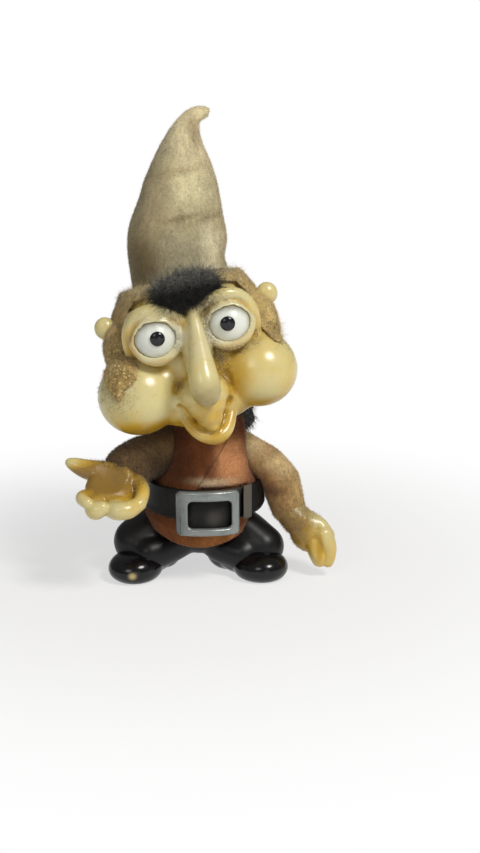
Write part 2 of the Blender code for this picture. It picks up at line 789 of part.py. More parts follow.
def build_neck(workshop):
    """The coil spring and its two plugs."""
    points = spring_points()
    print(f"neck spring: least gap between turns {least_spring_gap(points):.2f} mm")
    curve = bpy.data.curves.new("neck_spring", "CURVE")
    curve.dimensions = "3D"
    curve.bevel_depth = SPRING_WIRE / 2 * MM
    curve.bevel_resolution = 1
    curve.use_fill_caps = True
    spline = curve.splines.new("POLY")
    spline.points.add(len(points) - 1)
    for vertex, place in zip(spline.points, points):
        vertex.co = (*mm(place), 1.0)
    spring = bpy.data.objects.new("neck_spring", curve)
    spring.parent = workshop.body
    curve.materials.append(workshop.materials["spring_steel"])
    workshop.parts.objects.link(spring)
    head_plug = plug_mesh("head_plug", HEAD_PLUG_PROFILE, 1)
    shade(workshop.add_part("head_plug", head_plug, workshop.head, "plug_wood"))
    body_plug = plug_mesh("body_plug", BODY_PLUG_PROFILE, -1)
    lower = workshop.add_part("body_plug", body_plug, workshop.body, "plug_wood")
    lower.location = mm((NECK_X, 0.0, NECK_HEIGHT))
    shade(lower)


# Body.


def tunic_section(height):
    """Middle, half width and half depth of the tunic at a height, between its sections."""
    for low, high in zip(TUNIC_SECTIONS, TUNIC_SECTIONS[1:]):
        if height <= high[0]:
            share = (height - low[0]) / (high[0] - low[0])
            return [a + (b - a) * share for a, b in zip(low[1:], high[1:])]
    return list(TUNIC_SECTIONS[-1][1:])


def tunic_heights(low, high):
    """Two heights and those of the tunic's sections between them."""
    return [low, *(section[0] for section in TUNIC_SECTIONS if low < section[0] < high), high]


def tunic_loft(name, heights, grow=0.0, capped=False, sides=30):
    """A loft through the tunic's sections at these heights, grown outwards."""
    shape = bmesh.new()
    rings = []
    for height in heights:
        aside, middle, wide, deep = tunic_section(height)
        size = Matrix.Diagonal(((wide + grow) * MM, (deep + grow) * MM, 1.0, 1.0))
        place = Matrix.Translation(mm((aside, middle, height))) @ size
        made = bmesh.ops.create_circle(shape, cap_ends=False, segments=sides, radius=1.0, matrix=place)
        verts = set(made["verts"])
        rise = HEM_RISE * max(0.0, HEM_FADES - height) / (HEM_FADES - TUNIC_SECTIONS[0][0])
        for vertex in verts:
            vertex.co.z += rise * MM * (vertex.co.x / (wide * MM)) ** 2
        rings.append([edge for edge in shape.edges if set(edge.verts) <= verts])
    for low, high in zip(rings, rings[1:]):
        bmesh.ops.bridge_loops(shape, edges=low + high)
    if capped:
        for ring in (rings[0], rings[-1]):
            bmesh.ops.contextual_create(shape, geom=ring)
    return mesh_of(shape, name)


def wall(part, thickness, outwards):
    """Gives an open surface a wall."""
    solidify = part.modifiers.new("wall", "SOLIDIFY")
    solidify.thickness = thickness * MM
    solidify.offset = 1.0 if outwards else -1.0
    return part


def build_tunic(workshop):
    """The tunic: an open shell from neck to hem, and the front panel that wraps over it."""
    heights = [section[0] for section in TUNIC_SECTIONS]
    tunic = workshop.add_part("tunic", tunic_loft("tunic", heights), workshop.body, "tunic_flock")
    wall(tunic, TUNIC_WALL, outwards=False)
    low = BELT_HIGH + GAP
    flap_heights = [low + step * (31.6 - low) / 6 for step in range(7)]
    loft = tunic_loft("panel", flap_heights, grow=GAP)
    panel = workshop.add_part("tunic_front_panel", loft, workshop.body, "tunic_flock")
    wall(panel, FLAP_THICK, outwards=True)
    outline = prism(workshop, "panel_outline", workshop.body, FLAP_OUTLINE, "Y", -24.0, 0.5)
    cut(panel, outline, "INTERSECT")
    shade(panel)
    return tunic


def build_belt(workshop):
    """The broad belt, the pad behind its buckle, the keeper loop and the buckle frame."""
    heights = tunic_heights(BELT_LOW, BELT_HIGH)
    belt = workshop.add_part("belt", tunic_loft("belt", heights, grow=GAP), workshop.body, "belt_black")
    wall(belt, BELT_THICK, outwards=True)
    shade(belt)
    add_strap(workshop, "buckle_pad", tunic_heights(PAD_LOW, BELT_HIGH - 0.6), PAD_THICK, PAD_ENDS)
    add_strap(workshop, "belt_keeper", tunic_heights(BELT_LOW - 0.4, BELT_HIGH + 0.4), 0.7, (8.3, 9.9))
    build_buckle(workshop)


def add_strap(workshop, name, heights, thickness, sides):
    """A short curved plate over the belt's front, at these heights and between two sides."""
    loft = tunic_loft(name, heights, grow=GAP + BELT_THICK + GAP)
    strap = workshop.add_part(name, loft, workshop.body, "belt_black")
    wall(strap, thickness, outwards=True)
    left, right = sides
    ends = ((left, 4.0), (right, 4.0), (right, 24.0), (left, 24.0))
    cut(strap, prism(workshop, f"{name}_ends", workshop.body, ends, "Y", -22.0, -3.0), "INTERSECT")
    settle(strap)
    shade(strap)


def rectangle(wide, tall, shift=(0.0, 0.0)):
    """The corners of an upright rectangle, as (x, z)."""
    x, z = shift
    corners = ((-1, -1), (1, -1), (1, 1), (-1, 1))
    return [(x + a * wide / 2, z + b * tall / 2) for a, b in corners]


def build_buckle(workshop):
    """A rectangular frame with rounded edges, bent to the belly."""
    shape = bmesh.new()
    loops = []
    outer = rectangle(BUCKLE_WIDE, BUCKLE_TALL)
    window = rectangle(BUCKLE_WINDOW_WIDE, BUCKLE_WINDOW_TALL, BUCKLE_WINDOW_SHIFT)
    for corners in (outer, window):
        points = [shape.verts.new(mm((x, 0.0, z))) for x, z in corners]
        loops += [shape.edges.new(pair) for pair in zip(points, points[1:] + points[:1])]
    bmesh.ops.bridge_loops(shape, edges=loops)
    pulled = bmesh.ops.extrude_face_region(shape, geom=list(shape.faces))
    moved = [item for item in pulled["geom"] if isinstance(item, bmesh.types.BMVert)]
    bmesh.ops.translate(shape, verts=moved, vec=mm((0.0, -BUCKLE_THICK, 0.0)))
    bmesh.ops.recalc_face_normals(shape, faces=shape.faces)
    bmesh.ops.bevel(
        shape,
        geom=list(shape.edges),
        offset=0.4 * MM,
        offset_type="OFFSET",
        segments=1,
        profile=0.5,
        affect="EDGES",
        material=-1,
    )
    steps = 8
    for step in range(1, steps):
        place = mm((-BUCKLE_WIDE / 2 + step * BUCKLE_WIDE / steps, 0.0, 0.0))
        geometry = list(shape.verts) + list(shape.edges) + list(shape.faces)
        bmesh.ops.bisect_plane(shape, geom=geometry, dist=1e-7, plane_co=place, plane_no=(1.0, 0.0, 0.0))
    for vertex in shape.verts:
        vertex.co.y += vertex.co.x**2 / (2 * BUCKLE_BEND * MM)
    frame = workshop.add_part("buckle", mesh_of(shape, "buckle"), workshop.body, "buckle_grey")
    frame.location = mm(BUCKLE_CENTRE)
    frame.rotation_euler = (math.radians(BUCKLE_SLOPE), 0.0, math.radians(BUCKLE_TURN))
    shade(frame)


def shoe_clay(heel, toe):
    """A stubby shoe: heel, instep, bulging toe cap and a soft ankle roll."""
    start, end = Vector((*heel, 0.0)), Vector((*toe, 0.0))
    angle = math.degrees(math.atan2(end.y - start.y, end.x - start.x))

    def along(share, height):
        place = start + (end - start) * share
        return (place.x, place.y, height)

    clay = Clay()
    clay.ball(along(0.05, 2.6), (4.6, 4.0, 3.3), (0, 0, angle))
    clay.ball(along(0.45, 3.2), (6.2, 4.6, 3.6), (0, 0, angle))
    clay.ball(along(0.9, 2.4), (5.8, 5.3, 3.4), (0, 0, angle))
    clay.ball(along(0.45, 5.6), (4.4, 4.2, 2.2), (0, 0, angle))
    return clay


def build_shoes(workshop):
    """Two glossy shoes, each flat underneath where the figurine stands."""
    floor = slab(workshop, "floor", workshop.body, (0.0, 0.0, 0.0), 0.0, above=False)
    clearances = []
    for name, heel, toe in (
        ("right_shoe", SHOE_RIGHT_HEEL, SHOE_RIGHT_TOE),
        ("left_shoe", SHOE_LEFT_HEEL, SHOE_LEFT_TOE),
    ):
        clay = shoe_clay(heel, toe)
        shoe = clay.fused(workshop, name, workshop.body, "shoe_gloss", voxel=0.6, smoothing=3, triangles=450)
        clearances.append(clearance_of(workshop, shoe))
        cut(shoe, floor)
        settle(shoe)
        shade(shoe)
    return clearances


def build_trousers(workshop, shoe_clearances, tunic):
    """The flocked trousers: hips inside the tunic and two short legs that end in thick soft cuffs."""
    clay = Clay()
    clay.ball((0.2, -2.4, 10.5), (8.9, 7.2, 5.0))
    clay.ball((-0.6, -4.6, 7.6), (5.6, 4.8, 3.5))
    clay.limb([(-5.0, -2.4, 9.8, 4.6), (-9.8, -3.6, 8.0, 4.8), (-13.0, -5.2, 6.2, 4.7)])
    clay.limb([(-2.4, -4.6, 7.9, 3.4), (-6.4, -6.6, 5.8, 3.4), (-10.4, -8.2, 5.0, 3.4)])
    clay.limb([(4.8, -2.4, 9.8, 4.4), (8.8, -3.8, 7.4, 4.6), (11.8, -5.2, 5.2, 4.5)])
    clay.limb([(1.8, -4.6, 7.6, 3.4), (4.2, -5.6, 5.4, 3.6), (8.0, -7.2, 4.4, 3.6)])
    trousers = clay.fused(
        workshop, "trousers", workshop.body, "trouser_flock", voxel=0.6, smoothing=3, triangles=640
    )
    cut(tunic, clearance_of(workshop, trousers))
    settle(tunic)
    shade(tunic)
    for clearance in shoe_clearances:
        cut(trousers, clearance)
    settle(trousers)
    shade(trousers)


# Arms: every line is a list of (x, y, z, radius).

RIGHT_HAND = {
    "palm": ((-17.2, -16.2, 20.4), (4.9, 5.0, 2.6), (32, 8, 0)),
    "cup": ((-17.5, -18.4, 24.4), (4.6, 4.6, 3.0), (32, 8, 0)),
    "wrist": [(-14.4, -9.8, 23.4, 3.2), (-15.6, -13.6, 21.8, 3.4)],
    "fingers": [
        [
            (-20.4, -17.6, 19.8, 1.6),
            (-21.9, -19.9, 20.3, 1.35),
            (-22.0, -21.4, 20.3, 1.25),
            (-21.0, -22.3, 19.9, 1.2),
        ],
        [
            (-18.8, -18.4, 18.8, 1.9),
            (-19.8, -21.0, 18.6, 1.85),
            (-19.4, -22.5, 18.4, 1.8),
            (-18.2, -22.7, 19.0, 1.4),
        ],
        [
            (-15.4, -18.4, 18.6, 1.9),
            (-16.3, -21.4, 18.3, 1.7),
            (-15.2, -22.8, 18.4, 1.75),
            (-13.4, -22.4, 18.5, 1.75),
            (-12.0, -21.0, 18.8, 1.5),
        ],
        [
            (-12.4, -13.8, 21.0, 2.0),
            (-11.1, -16.6, 20.8, 1.5),
            (-10.9, -19.0, 20.2, 1.35),
            (-11.3, -20.8, 19.2, 1.35),
        ],
    ],
    "thumb": [
        (-18.2, -13.0, 22.8, 2.4),
        (-21.8, -13.2, 23.7, 1.95),
        (-24.0, -13.3, 24.6, 1.45),
        (-25.1, -13.4, 25.1, 0.95),
    ],
}
LEFT_HAND = {
    "palm": ((21.6, -6.2, 8.4), (3.9, 2.5, 4.3), (0, -42, 0)),
    "cup": None,
    "wrist": [(17.2, -3.9, 12.8, 2.9), (19.0, -4.9, 10.8, 3.1)],
    "fingers": [
        [(22.6, -7.2, 6.6, 2.2), (23.2, -8.0, 4.6, 1.9), (23.4, -8.2, 3.5, 1.55)],
        [(24.2, -7.4, 8.4, 2.0), (25.2, -8.1, 6.4, 1.6), (25.4, -8.4, 4.5, 1.3), (25.1, -8.5, 3.1, 1.15)],
    ],
    "thumb": [(21.4, -5.6, 11.2, 1.6), (23.4, -6.5, 10.1, 1.6), (25.0, -7.2, 8.2, 1.5)],
}
RIGHT_SLEEVE = [
    (-5.6, -0.2, 25.2, 4.0),
    (-9.2, -3.8, 24.2, 4.3),
    (-12.4, -7.8, 23.7, 4.4),
    (-14.2, -10.2, 23.3, 4.5),
]
LEFT_SLEEVE = [
    (5.8, 0.2, 25.4, 3.2),
    (9.8, -0.6, 23.4, 3.5),
    (14.6, -1.8, 19.6, 3.9),
    (16.1, -2.8, 16.4, 3.7),
    (16.9, -3.6, 13.4, 3.5),
]


def hand_clay(hand, grow=0.0):
    """A chubby hand from its wrist, palm, fingers and thumb, grown all round by a clearance."""
    clay = Clay()
    clay.limb(hand["wrist"], grow)
    clay.ball(*hand["palm"], grow=grow)
    for finger in hand["fingers"]:
        clay.limb(finger, grow)
    clay.limb(hand["thumb"], grow)
    return clay


def build_hand(workshop, side, hand):
    """A bare vinyl hand, the right one with a cupped palm. Gives back the clearance for its sleeve."""
    made = hand_clay(hand).fused(
        workshop, f"{side}_hand", workshop.body, "face_vinyl", voxel=0.4, smoothing=2, triangles=700
    )
    if hand["cup"]:
        cup = Clay().ball(*hand["cup"])
        cut(made, workshop.add_cutter("palm_cup", mesh_of(cup.shape, "palm_cup"), workshop.body))
        settle(made)
    shade(made, 50.0)
    name = f"{side}_hand_clearance"
    return clay_cutter(workshop, name, workshop.body, hand_clay(hand, 1.5 * GAP), 0.6, 600)


def build_arms(workshop):
    """Each arm is a flocked sleeve over the wrist of its hand."""
    heights = [section[0] for section in TUNIC_SECTIONS]
    body = tunic_loft("chest", heights, grow=GAP, capped=True)
    chest = workshop.add_cutter("chest_clearance", body, workshop.body)
    belt_heights = tunic_heights(BELT_LOW - 2.0, BELT_HIGH + GAP)
    around_belt = tunic_loft("waist", belt_heights, grow=BELT_THICK + 2 * GAP, capped=True)
    waist = workshop.add_cutter("waist_clearance", around_belt, workshop.body)
    over_panel = tunic_loft("over_panel", heights[3:], grow=2 * GAP + FLAP_THICK, capped=True)
    over_panel = workshop.add_cutter("panel_clearance", over_panel, workshop.body)
    cut(over_panel, prism(workshop, "round_panel", workshop.body, ROUND_FLAP, "Y", -24.0, 0.9), "INTERSECT")
    for side, hand, line in (("right", RIGHT_HAND, RIGHT_SLEEVE), ("left", LEFT_HAND, LEFT_SLEEVE)):
        hand_clearance = build_hand(workshop, side, hand)
        sleeve = Clay().limb(line).fused(
            workshop, f"{side}_sleeve", workshop.body, "sleeve_flock", voxel=0.6, smoothing=4, triangles=320
        )
        for cutter in (hand_clearance, chest, waist, over_panel):
            cut(sleeve, cutter)
        settle(sleeve)
        shade(sleeve)


def main():
    clear_scene()
    workshop = Workshop()
    head, head_clearance = build_head(workshop)
    build_eyes(workshop)
    build_hat(workshop, head_clearance)
    build_hair(workshop, head_clearance)
    build_fur(workshop, head_clearance)
    build_neck(workshop)
    tunic = build_tunic(workshop)
    build_belt(workshop)
    build_trousers(workshop, build_shoes(workshop), tunic)
    build_arms(workshop)


main()
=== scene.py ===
"""Looks of the nodding gnome: glossy aged vinyl, flocked cloth, loose dark fur and painted shoes.

Shapes are worked out in millimetres. Head pieces are shaped in the head's own upright frame, whose origin is
the middle of the neck spring, and body pieces from the spine, an upright line through the neck. Each finished
mesh is then moved to its place in the shared frame, so its object stays at the origin.
"""

import logging
import math
from collections.abc import Callable, Iterable, Sequence
from dataclasses import dataclass
from enum import Enum

import bmesh
import bpy
import numpy as np
from mathutils import Euler, Matrix, Vector


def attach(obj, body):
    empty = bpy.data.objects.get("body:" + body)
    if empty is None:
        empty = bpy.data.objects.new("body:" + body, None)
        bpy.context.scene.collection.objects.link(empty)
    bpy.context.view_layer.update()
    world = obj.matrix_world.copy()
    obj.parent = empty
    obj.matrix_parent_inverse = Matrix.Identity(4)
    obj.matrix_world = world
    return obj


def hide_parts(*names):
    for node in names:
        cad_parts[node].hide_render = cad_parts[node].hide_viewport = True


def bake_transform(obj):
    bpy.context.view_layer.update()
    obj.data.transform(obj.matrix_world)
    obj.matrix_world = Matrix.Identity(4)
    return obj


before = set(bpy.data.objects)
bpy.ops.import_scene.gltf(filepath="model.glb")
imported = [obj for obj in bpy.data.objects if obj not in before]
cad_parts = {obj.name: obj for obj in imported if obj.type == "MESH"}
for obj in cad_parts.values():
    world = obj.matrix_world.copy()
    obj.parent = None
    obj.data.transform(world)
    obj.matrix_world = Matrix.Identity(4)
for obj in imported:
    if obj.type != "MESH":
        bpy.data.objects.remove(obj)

MM = 0.001

# A lump is a centre, radii and maybe a turn, and a groove is a line, a radius and a depth.
Mesh = bpy.types.Mesh
Material = bpy.types.Material
Array = np.ndarray
Pair = tuple[float, float]
Point = tuple[float, float, float]
Knot = tuple[float, float, float, float]
Lump = tuple[Point, ...]
Groove = tuple[tuple[Point, ...], float, float]

log = logging.getLogger("gnome")


class Place(Enum):
    """The frame that a piece is shaped in."""

    BODY = "body"
    HEAD = "head"


SPINE = Vector((-0.4, 4.4, 0.0))
NECK = Vector((0.9, 0.0, 33.0))
HEAD_LEAN = -11.5
HEAD_TURN = 5.5
HEAD_ANGLES = Euler((0.0, math.radians(HEAD_LEAN), math.radians(HEAD_TURN)), "ZYX")
PLACES = {
    Place.BODY: Matrix.Translation(SPINE),
    Place.HEAD: Matrix.Translation(SPINE + NECK) @ HEAD_ANGLES.to_matrix().to_4x4(),
}


def tone(red: int, green: int, blue: int) -> Point:
    """A colour given as it looks on a display, from 0 to 255, in linear light."""

    def channel(value: int) -> float:
        share = value / 255
        return share / 12.92 if share <= 0.04045 else ((share + 0.055) / 1.055) ** 2.4

    return channel(red), channel(green), channel(blue)


# Materials.


class Wire:
    """A node's output in a material, with arithmetic that adds its Math nodes."""

    def __init__(self, desk: "Desk", socket: bpy.types.NodeSocket) -> None:
        """Keeps the socket and the desk whose tree it is in."""
        self.desk = desk
        self.socket = socket

    def __add__(self, other: "Wire | float") -> "Wire":
        """Sum."""
        return self.desk.math("ADD", self, other)

    def __radd__(self, other: float) -> "Wire":
        """Sum, with the number first."""
        return self.desk.math("ADD", other, self)

    def __sub__(self, other: "Wire | float") -> "Wire":
        """Difference."""
        return self.desk.math("SUBTRACT", self, other)

    def __rsub__(self, other: float) -> "Wire":
        """Difference, with the number first."""
        return self.desk.math("SUBTRACT", other, self)

    def __mul__(self, other: "Wire | float") -> "Wire":
        """Product."""
        return self.desk.math("MULTIPLY", self, other)

    def clamped(self) -> "Wire":
        """The value held between 0 and 1."""
        return self.desk.node("ShaderNodeClamp", sockets={"Value": self})

    def step(self, low: float, high: float) -> "Wire":
        """A soft step from 0 to 1 as the value goes from low to high."""
        return self.desk.node(
            "ShaderNodeMapRange",
            {"interpolation_type": "SMOOTHSTEP"},
            {"Value": self, "From Min": low, "From Max": high},
        )


class Desk:
    """One material's node tree, with its Principled shader."""

    def __init__(self, name: str) -> None:
        """Makes the material with a Principled shader and an output."""
        self.material = bpy.data.materials.new(name)
        self.material.use_nodes = True
        self.tree = self.material.node_tree
        self.shader = self.tree.nodes["Principled BSDF"]

    def node(
        self,
        kind: str,
        settings: dict[str, object] | None = None,
        sockets: dict[str | int, object] | None = None,
        output: str | int = 0,
    ) -> Wire:
        """Adds a node.

        Args:
            kind: the node's type, as Blender names it.
            settings: properties of the node, set before its sockets.
            sockets: a number, colour or Wire for each input, by name or index.
            output: the output that is wanted.

        Returns:
            The wanted output.
        """
        made = self.tree.nodes.new(kind)
        for name, value in (settings or {}).items():
            setattr(made, name, value)
        for name, value in (sockets or {}).items():
            self.plug(made.inputs[name], value)
        return Wire(self, made.outputs[output])

    def plug(self, socket: bpy.types.NodeSocket, value: object) -> None:
        """Links a Wire to an input, or sets a plain value on it."""
        if isinstance(value, Wire):
            self.tree.links.new(value.socket, socket)
        elif isinstance(value, tuple) and len(value) == 3 and socket.type == "RGBA":
            socket.default_value = (*value, 1.0)
        else:
            socket.default_value = value

    def set(self, **values: object) -> None:
        """Sets inputs of the Principled shader, with underscores for the spaces in their names."""
        for name, value in values.items():
            self.plug(self.shader.inputs[name.replace("_", " ")], value)

    def math(self, operation: str, *values: object) -> Wire:
        """A Math node on numbers and wires."""
        return self.node("ShaderNodeMath", {"operation": operation}, dict(enumerate(values)))

    def mix(self, share: object, first: object, second: object, way: str = "MIX") -> Wire:
        """Two colours mixed by a share from 0 to 1, in the way that Blender names."""
        return self.node(
            "ShaderNodeMix",
            {"data_type": "RGBA", "blend_type": way, "clamp_factor": True},
            {0: share, 6: first, 7: second},
            output=2,
        )

    def places(self, stretch: Point = (1.0, 1.0, 1.0), turn: Point = (0.0, 0.0, 0.0)) -> Wire:
        """Places on the piece in millimetres, turned by degrees and then stretched."""
        start = self.node("ShaderNodeTexCoord", output="Object")
        return self.node(
            "ShaderNodeMapping",
            sockets={
                "Vector": start,
                "Rotation": tuple(math.radians(angle) for angle in turn),
                "Scale": tuple(value / MM for value in stretch),
            },
        )

    def cloud(self, places: Wire, size: float, detail: float = 2.0, rough: float = 0.5) -> Wire:
        """Soft noise with features of about a size in millimetres."""
        sockets = {"Vector": places, "Scale": 1.0 / size, "Detail": detail, "Roughness": rough}
        return self.node("ShaderNodeTexNoise", sockets=sockets)

    def grains(self, places: Wire, size: float) -> Wire:
        """Distance to the nearest of scattered points, as a share of a size in millimetres."""
        return self.node("ShaderNodeTexVoronoi", sockets={"Vector": places, "Scale": 1.0 / size})

    def painted(self, name: str) -> Wire:
        """A number painted on the vertices."""
        return self.node("ShaderNodeAttribute", {"attribute_name": name}, output="Fac")

    def painted_colour(self, name: str) -> Wire:
        """A colour painted on the vertices."""
        return self.node("ShaderNodeAttribute", {"attribute_name": name}, output="Color")

    def bump(self, height: Wire, depth: float, strength: float = 1.0) -> Wire:
        """A normal from a height, with its full depth in millimetres."""
        sockets = {"Strength": strength, "Distance": depth * MM, "Height": height}
        return self.node("ShaderNodeBump", sockets=sockets)


@dataclass(frozen=True)
class AgedVinyl:
    """Glossy moulded vinyl that has yellowed, browner in its hollows, with painted shade under the cheeks,
    the lip and the thumb, and with specks in its grimy places.
    """

    pale: Point = tone(218, 206, 147)
    warm: Point = tone(222, 180, 54)
    deep: Point = tone(132, 96, 30)
    dust: Point = tone(122, 98, 60)
    speck: Point = tone(78, 62, 40)
    # Stray white eye paint, also used as a painted highlight on the nose.
    wash: Point = tone(212, 208, 180)
    gloss: float = 0.24

    def make(self, name: str) -> Material:
        """The material. Its pieces are painted with hollow, which carries painted shade too, soil and bloom,
        and the head with stray eye paint and a painted highlight.
        """
        desk = Desk(name)
        places = desk.places()
        broad = desk.cloud(places, 9.0, 2.0)
        fine = desk.cloud(places, 1.6, 4.0, 0.6)
        hollow, soil, bloom = (desk.painted(word) for word in ("hollow", "soil", "bloom"))
        # hollow makes the vinyl warmer and darker: browner in the hollows, and painted shade under the
        # cheeks, the lip and the thumb.
        colour = desk.mix((broad * 0.8 + hollow * 0.9).step(0.25, 0.8), self.pale, self.warm)
        colour = desk.mix((hollow * 1.25 + fine * 0.35 - 0.25).clamped() * 0.8, colour, self.deep)
        colour = desk.mix((bloom * (fine * 0.8 + 0.55)).clamped(), colour, self.dust)
        colour = desk.mix((desk.painted("wash") * (fine * 0.9 + 0.5)).clamped(), colour, self.wash)
        thick = desk.cloud(places, 0.24, 2.0, 0.7)
        patchy = desk.cloud(desk.places(turn=(20.0, 40.0, 0.0)), 1.8, 3.0, 0.6)
        specks = (thick + soil * 0.24 + patchy * 0.22).step(0.74, 0.86) * soil.step(0.04, 0.4)
        film = (soil * (patchy * 1.1 - 0.1)).clamped()
        colour = desk.mix(film * 0.65, colour, self.dust)
        colour = desk.mix(specks * 0.7, colour, self.speck)
        wear = desk.cloud(places, 0.8, 5.0, 0.7)
        desk.set(
            Base_Color=colour,
            Roughness=self.gloss + fine * 0.08 + specks * 0.4 + film * 0.35 + bloom * 0.2,
            Normal=desk.bump(wear * 0.4 + specks * 0.8, 0.03, 0.5),
            Coat_Weight=0.25,
            Coat_Roughness=0.2,
            Subsurface_Weight=0.12,
            Subsurface_Radius=(1.0, 0.55, 0.2),
            Subsurface_Scale=0.0016,
        )
        return desk.material


@dataclass(frozen=True)
class Flock:
    """Short velvet fibres: their colour, painted light and shade included, is painted on the vertices, and
    noise adds nap and streaks.
    """

    streak: Point = (1.0, 1.0, 0.35)
    contrast: float = 0.55
    grain: float = 0.35
    sheen: float = 0.25
    bright: Point = tone(232, 212, 142)

    def make(self, name: str) -> Material:
        """The material. Its pieces are painted with their colour, painted light and shade included, and with
        tip, shade and, where bright dots show, fleck.
        """
        desk = Desk(name)
        nap = desk.cloud(desk.places(self.streak), 1.3, 4.0, 0.65)
        grain = desk.cloud(desk.places(), self.grain, 2.0, 0.6)
        broad = desk.cloud(desk.places(turn=(30.0, 10.0, 0.0)), 7.0, 3.0)
        lift = (nap * 0.55 + grain * 0.35 + broad * 0.35 - 0.6) * self.contrast
        fibre = (desk.painted("tip") - 0.3) * 0.4 + (desk.painted("shade") - 0.45) * 0.6
        light = 1.0 + lift * 1.8 + fibre
        factor = desk.node("ShaderNodeCombineXYZ", sockets={0: light, 1: light, 2: light})
        # The painted vertex colour holds the flock's own colour together with its painted light and shade.
        colour = desk.mix(1.0, desk.painted_colour("dye"), factor, "MULTIPLY")
        dots = 1.0 - desk.grains(desk.places(), 0.62).step(0.2, 0.45)
        colour = desk.mix((dots * desk.painted("fleck")).clamped(), colour, self.bright)
        desk.set(
            Base_Color=colour,
            Roughness=0.95,
            Specular_IOR_Level=0.2,
            Sheen_Weight=self.sheen,
            Sheen_Roughness=0.5,
            Normal=desk.bump(grain * 0.7 + nap * 0.5, 0.12, 0.8),
        )
        return desk.material


@dataclass(frozen=True)
class Fur:
    """Loose pile whose strands go from a dark root to a greyer tip, and paler still where faded colour and a
    painted sheen lie.
    """

    root: Point = tone(12, 11, 11)
    tip: Point = tone(66, 66, 64)
    faded: Point = tone(158, 156, 146)

    def make(self, name: str) -> Material:
        """The material. Its strands are painted with tip, shade and a number for faded colour and painted
        sheen.
        """
        desk = Desk(name)
        tip, shade, fade = (desk.painted(word) for word in ("tip", "shade", "fade"))
        colour = desk.mix((tip * 0.55 + shade * 0.35 - 0.1).clamped(), self.root, self.tip)
        colour = desk.mix((fade * (tip * 0.5 + shade * 1.1 - 0.3)).clamped(), colour, self.faded)
        desk.set(Base_Color=colour, Roughness=0.5, Specular_IOR_Level=0.4)
        return desk.material


@dataclass(frozen=True)
class EyePaint:
    """Satin white paint, greyer towards the lids: dirt at the edge, and painted shade under the lids."""

    white: Point = tone(232, 235, 224)
    shadow: Point = tone(112, 98, 72)

    def make(self, name: str) -> Material:
        """The material. The eyeball is painted with rim."""
        desk = Desk(name)
        places = desk.places()
        cloud = desk.cloud(places, 1.4, 4.0, 0.6)
        # The white greys towards the lids: dirt round its edge and painted shade under the lids.
        dirt = (desk.painted("rim") + (cloud - 0.5) * 0.5).step(0.25, 1.1)
        colour = desk.mix(dirt * 0.85, self.white, self.shadow)
        desk.set(
            Base_Color=colour,
            Roughness=0.22 + cloud * 0.15,
            Normal=desk.bump(cloud, 0.02, 0.4),
        )
        return desk.material


@dataclass(frozen=True)
class Paint:
    """Brushed paint with dust and worn places; on the buckle its worn colour also paints shade."""

    body: Point
    worn: Point
    gloss: float
    dust: float = 0.3
    metal: float = 0.0
    shine: float = 0.5

    def make(self, name: str) -> Material:
        """The material. Its pieces may be painted where bare vinyl or dust shows, or where the worn colour
        stands in for shade.
        """
        desk = Desk(name)
        places = desk.places()
        cloud = desk.cloud(places, 2.2, 5.0, 0.65)
        scratch = desk.cloud(desk.places((1.0, 1.0, 6.0), (0.0, 0.0, 35.0)), 0.9, 3.0, 0.7)
        film = ((cloud - 0.45) * 1.6 + (scratch - 0.5) * 0.6).clamped() * self.dust
        colour = desk.mix(film + desk.painted("chip"), self.body, self.worn)
        desk.set(
            Base_Color=colour,
            Roughness=self.gloss + film * 0.35 + scratch * 0.05,
            Metallic=self.metal,
            Specular_IOR_Level=self.shine,
            Normal=desk.bump(cloud * 0.5 + scratch * 0.2, 0.05, 0.5),
        )
        return desk.material


@dataclass(frozen=True)
class TurnedWood:
    """Plain pale wood with rings round its axis."""

    light: Point = tone(196, 154, 104)
    dark: Point = tone(142, 98, 58)

    def make(self, name: str) -> Material:
        """The material."""
        desk = Desk(name)
        grain = desk.cloud(desk.places((3.0, 3.0, 0.25)), 1.6, 4.0, 0.6)
        colour = desk.mix(grain.step(0.35, 0.7), self.dark, self.light)
        desk.set(Base_Color=colour, Roughness=0.6, Normal=desk.bump(grain, 0.04, 0.5))
        return desk.material


@dataclass(frozen=True)
class SpringWire:
    """Drawn steel wire, a little tarnished."""

    steel: Point = tone(176, 174, 170)
    tarnish: Point = tone(112, 96, 78)

    def make(self, name: str) -> Material:
        """The material."""
        desk = Desk(name)
        cloud = desk.cloud(desk.places(), 0.9, 4.0, 0.6)
        desk.set(
            Base_Color=desk.mix(cloud.step(0.5, 0.75), self.steel, self.tarnish),
            Roughness=0.25 + cloud * 0.3,
            Metallic=1.0,
        )
        return desk.material


# Shaping.


def mesh_of(shape: bmesh.types.BMesh, name: str) -> Mesh:
    """Turns a bmesh into a mesh with its normals outwards, and frees it."""
    bmesh.ops.recalc_face_normals(shape, faces=shape.faces)
    mesh = bpy.data.meshes.new(name)
    shape.to_mesh(mesh)
    shape.free()
    return mesh


def points_of(mesh: Mesh) -> Array:
    """A mesh's points as rows of an array."""
    points = np.empty(len(mesh.vertices) * 3, np.float32)
    mesh.vertices.foreach_get("co", points)
    return points.reshape(-1, 3).astype(float)


def object_of(name: str, data: bpy.types.ID) -> bpy.types.Object:
    """A new object in the scene that holds a mesh, curve, lamp or camera."""
    thing = bpy.data.objects.new(name, data)
    bpy.context.scene.collection.objects.link(thing)
    return thing


def finished(holder: bpy.types.Object) -> Mesh:
    """The mesh that an object's modifiers or curve make. The object is removed."""
    bpy.context.view_layer.update()
    made = bpy.data.meshes.new_from_object(holder.evaluated_get(bpy.context.evaluated_depsgraph_get()))
    bpy.data.objects.remove(holder)
    return made


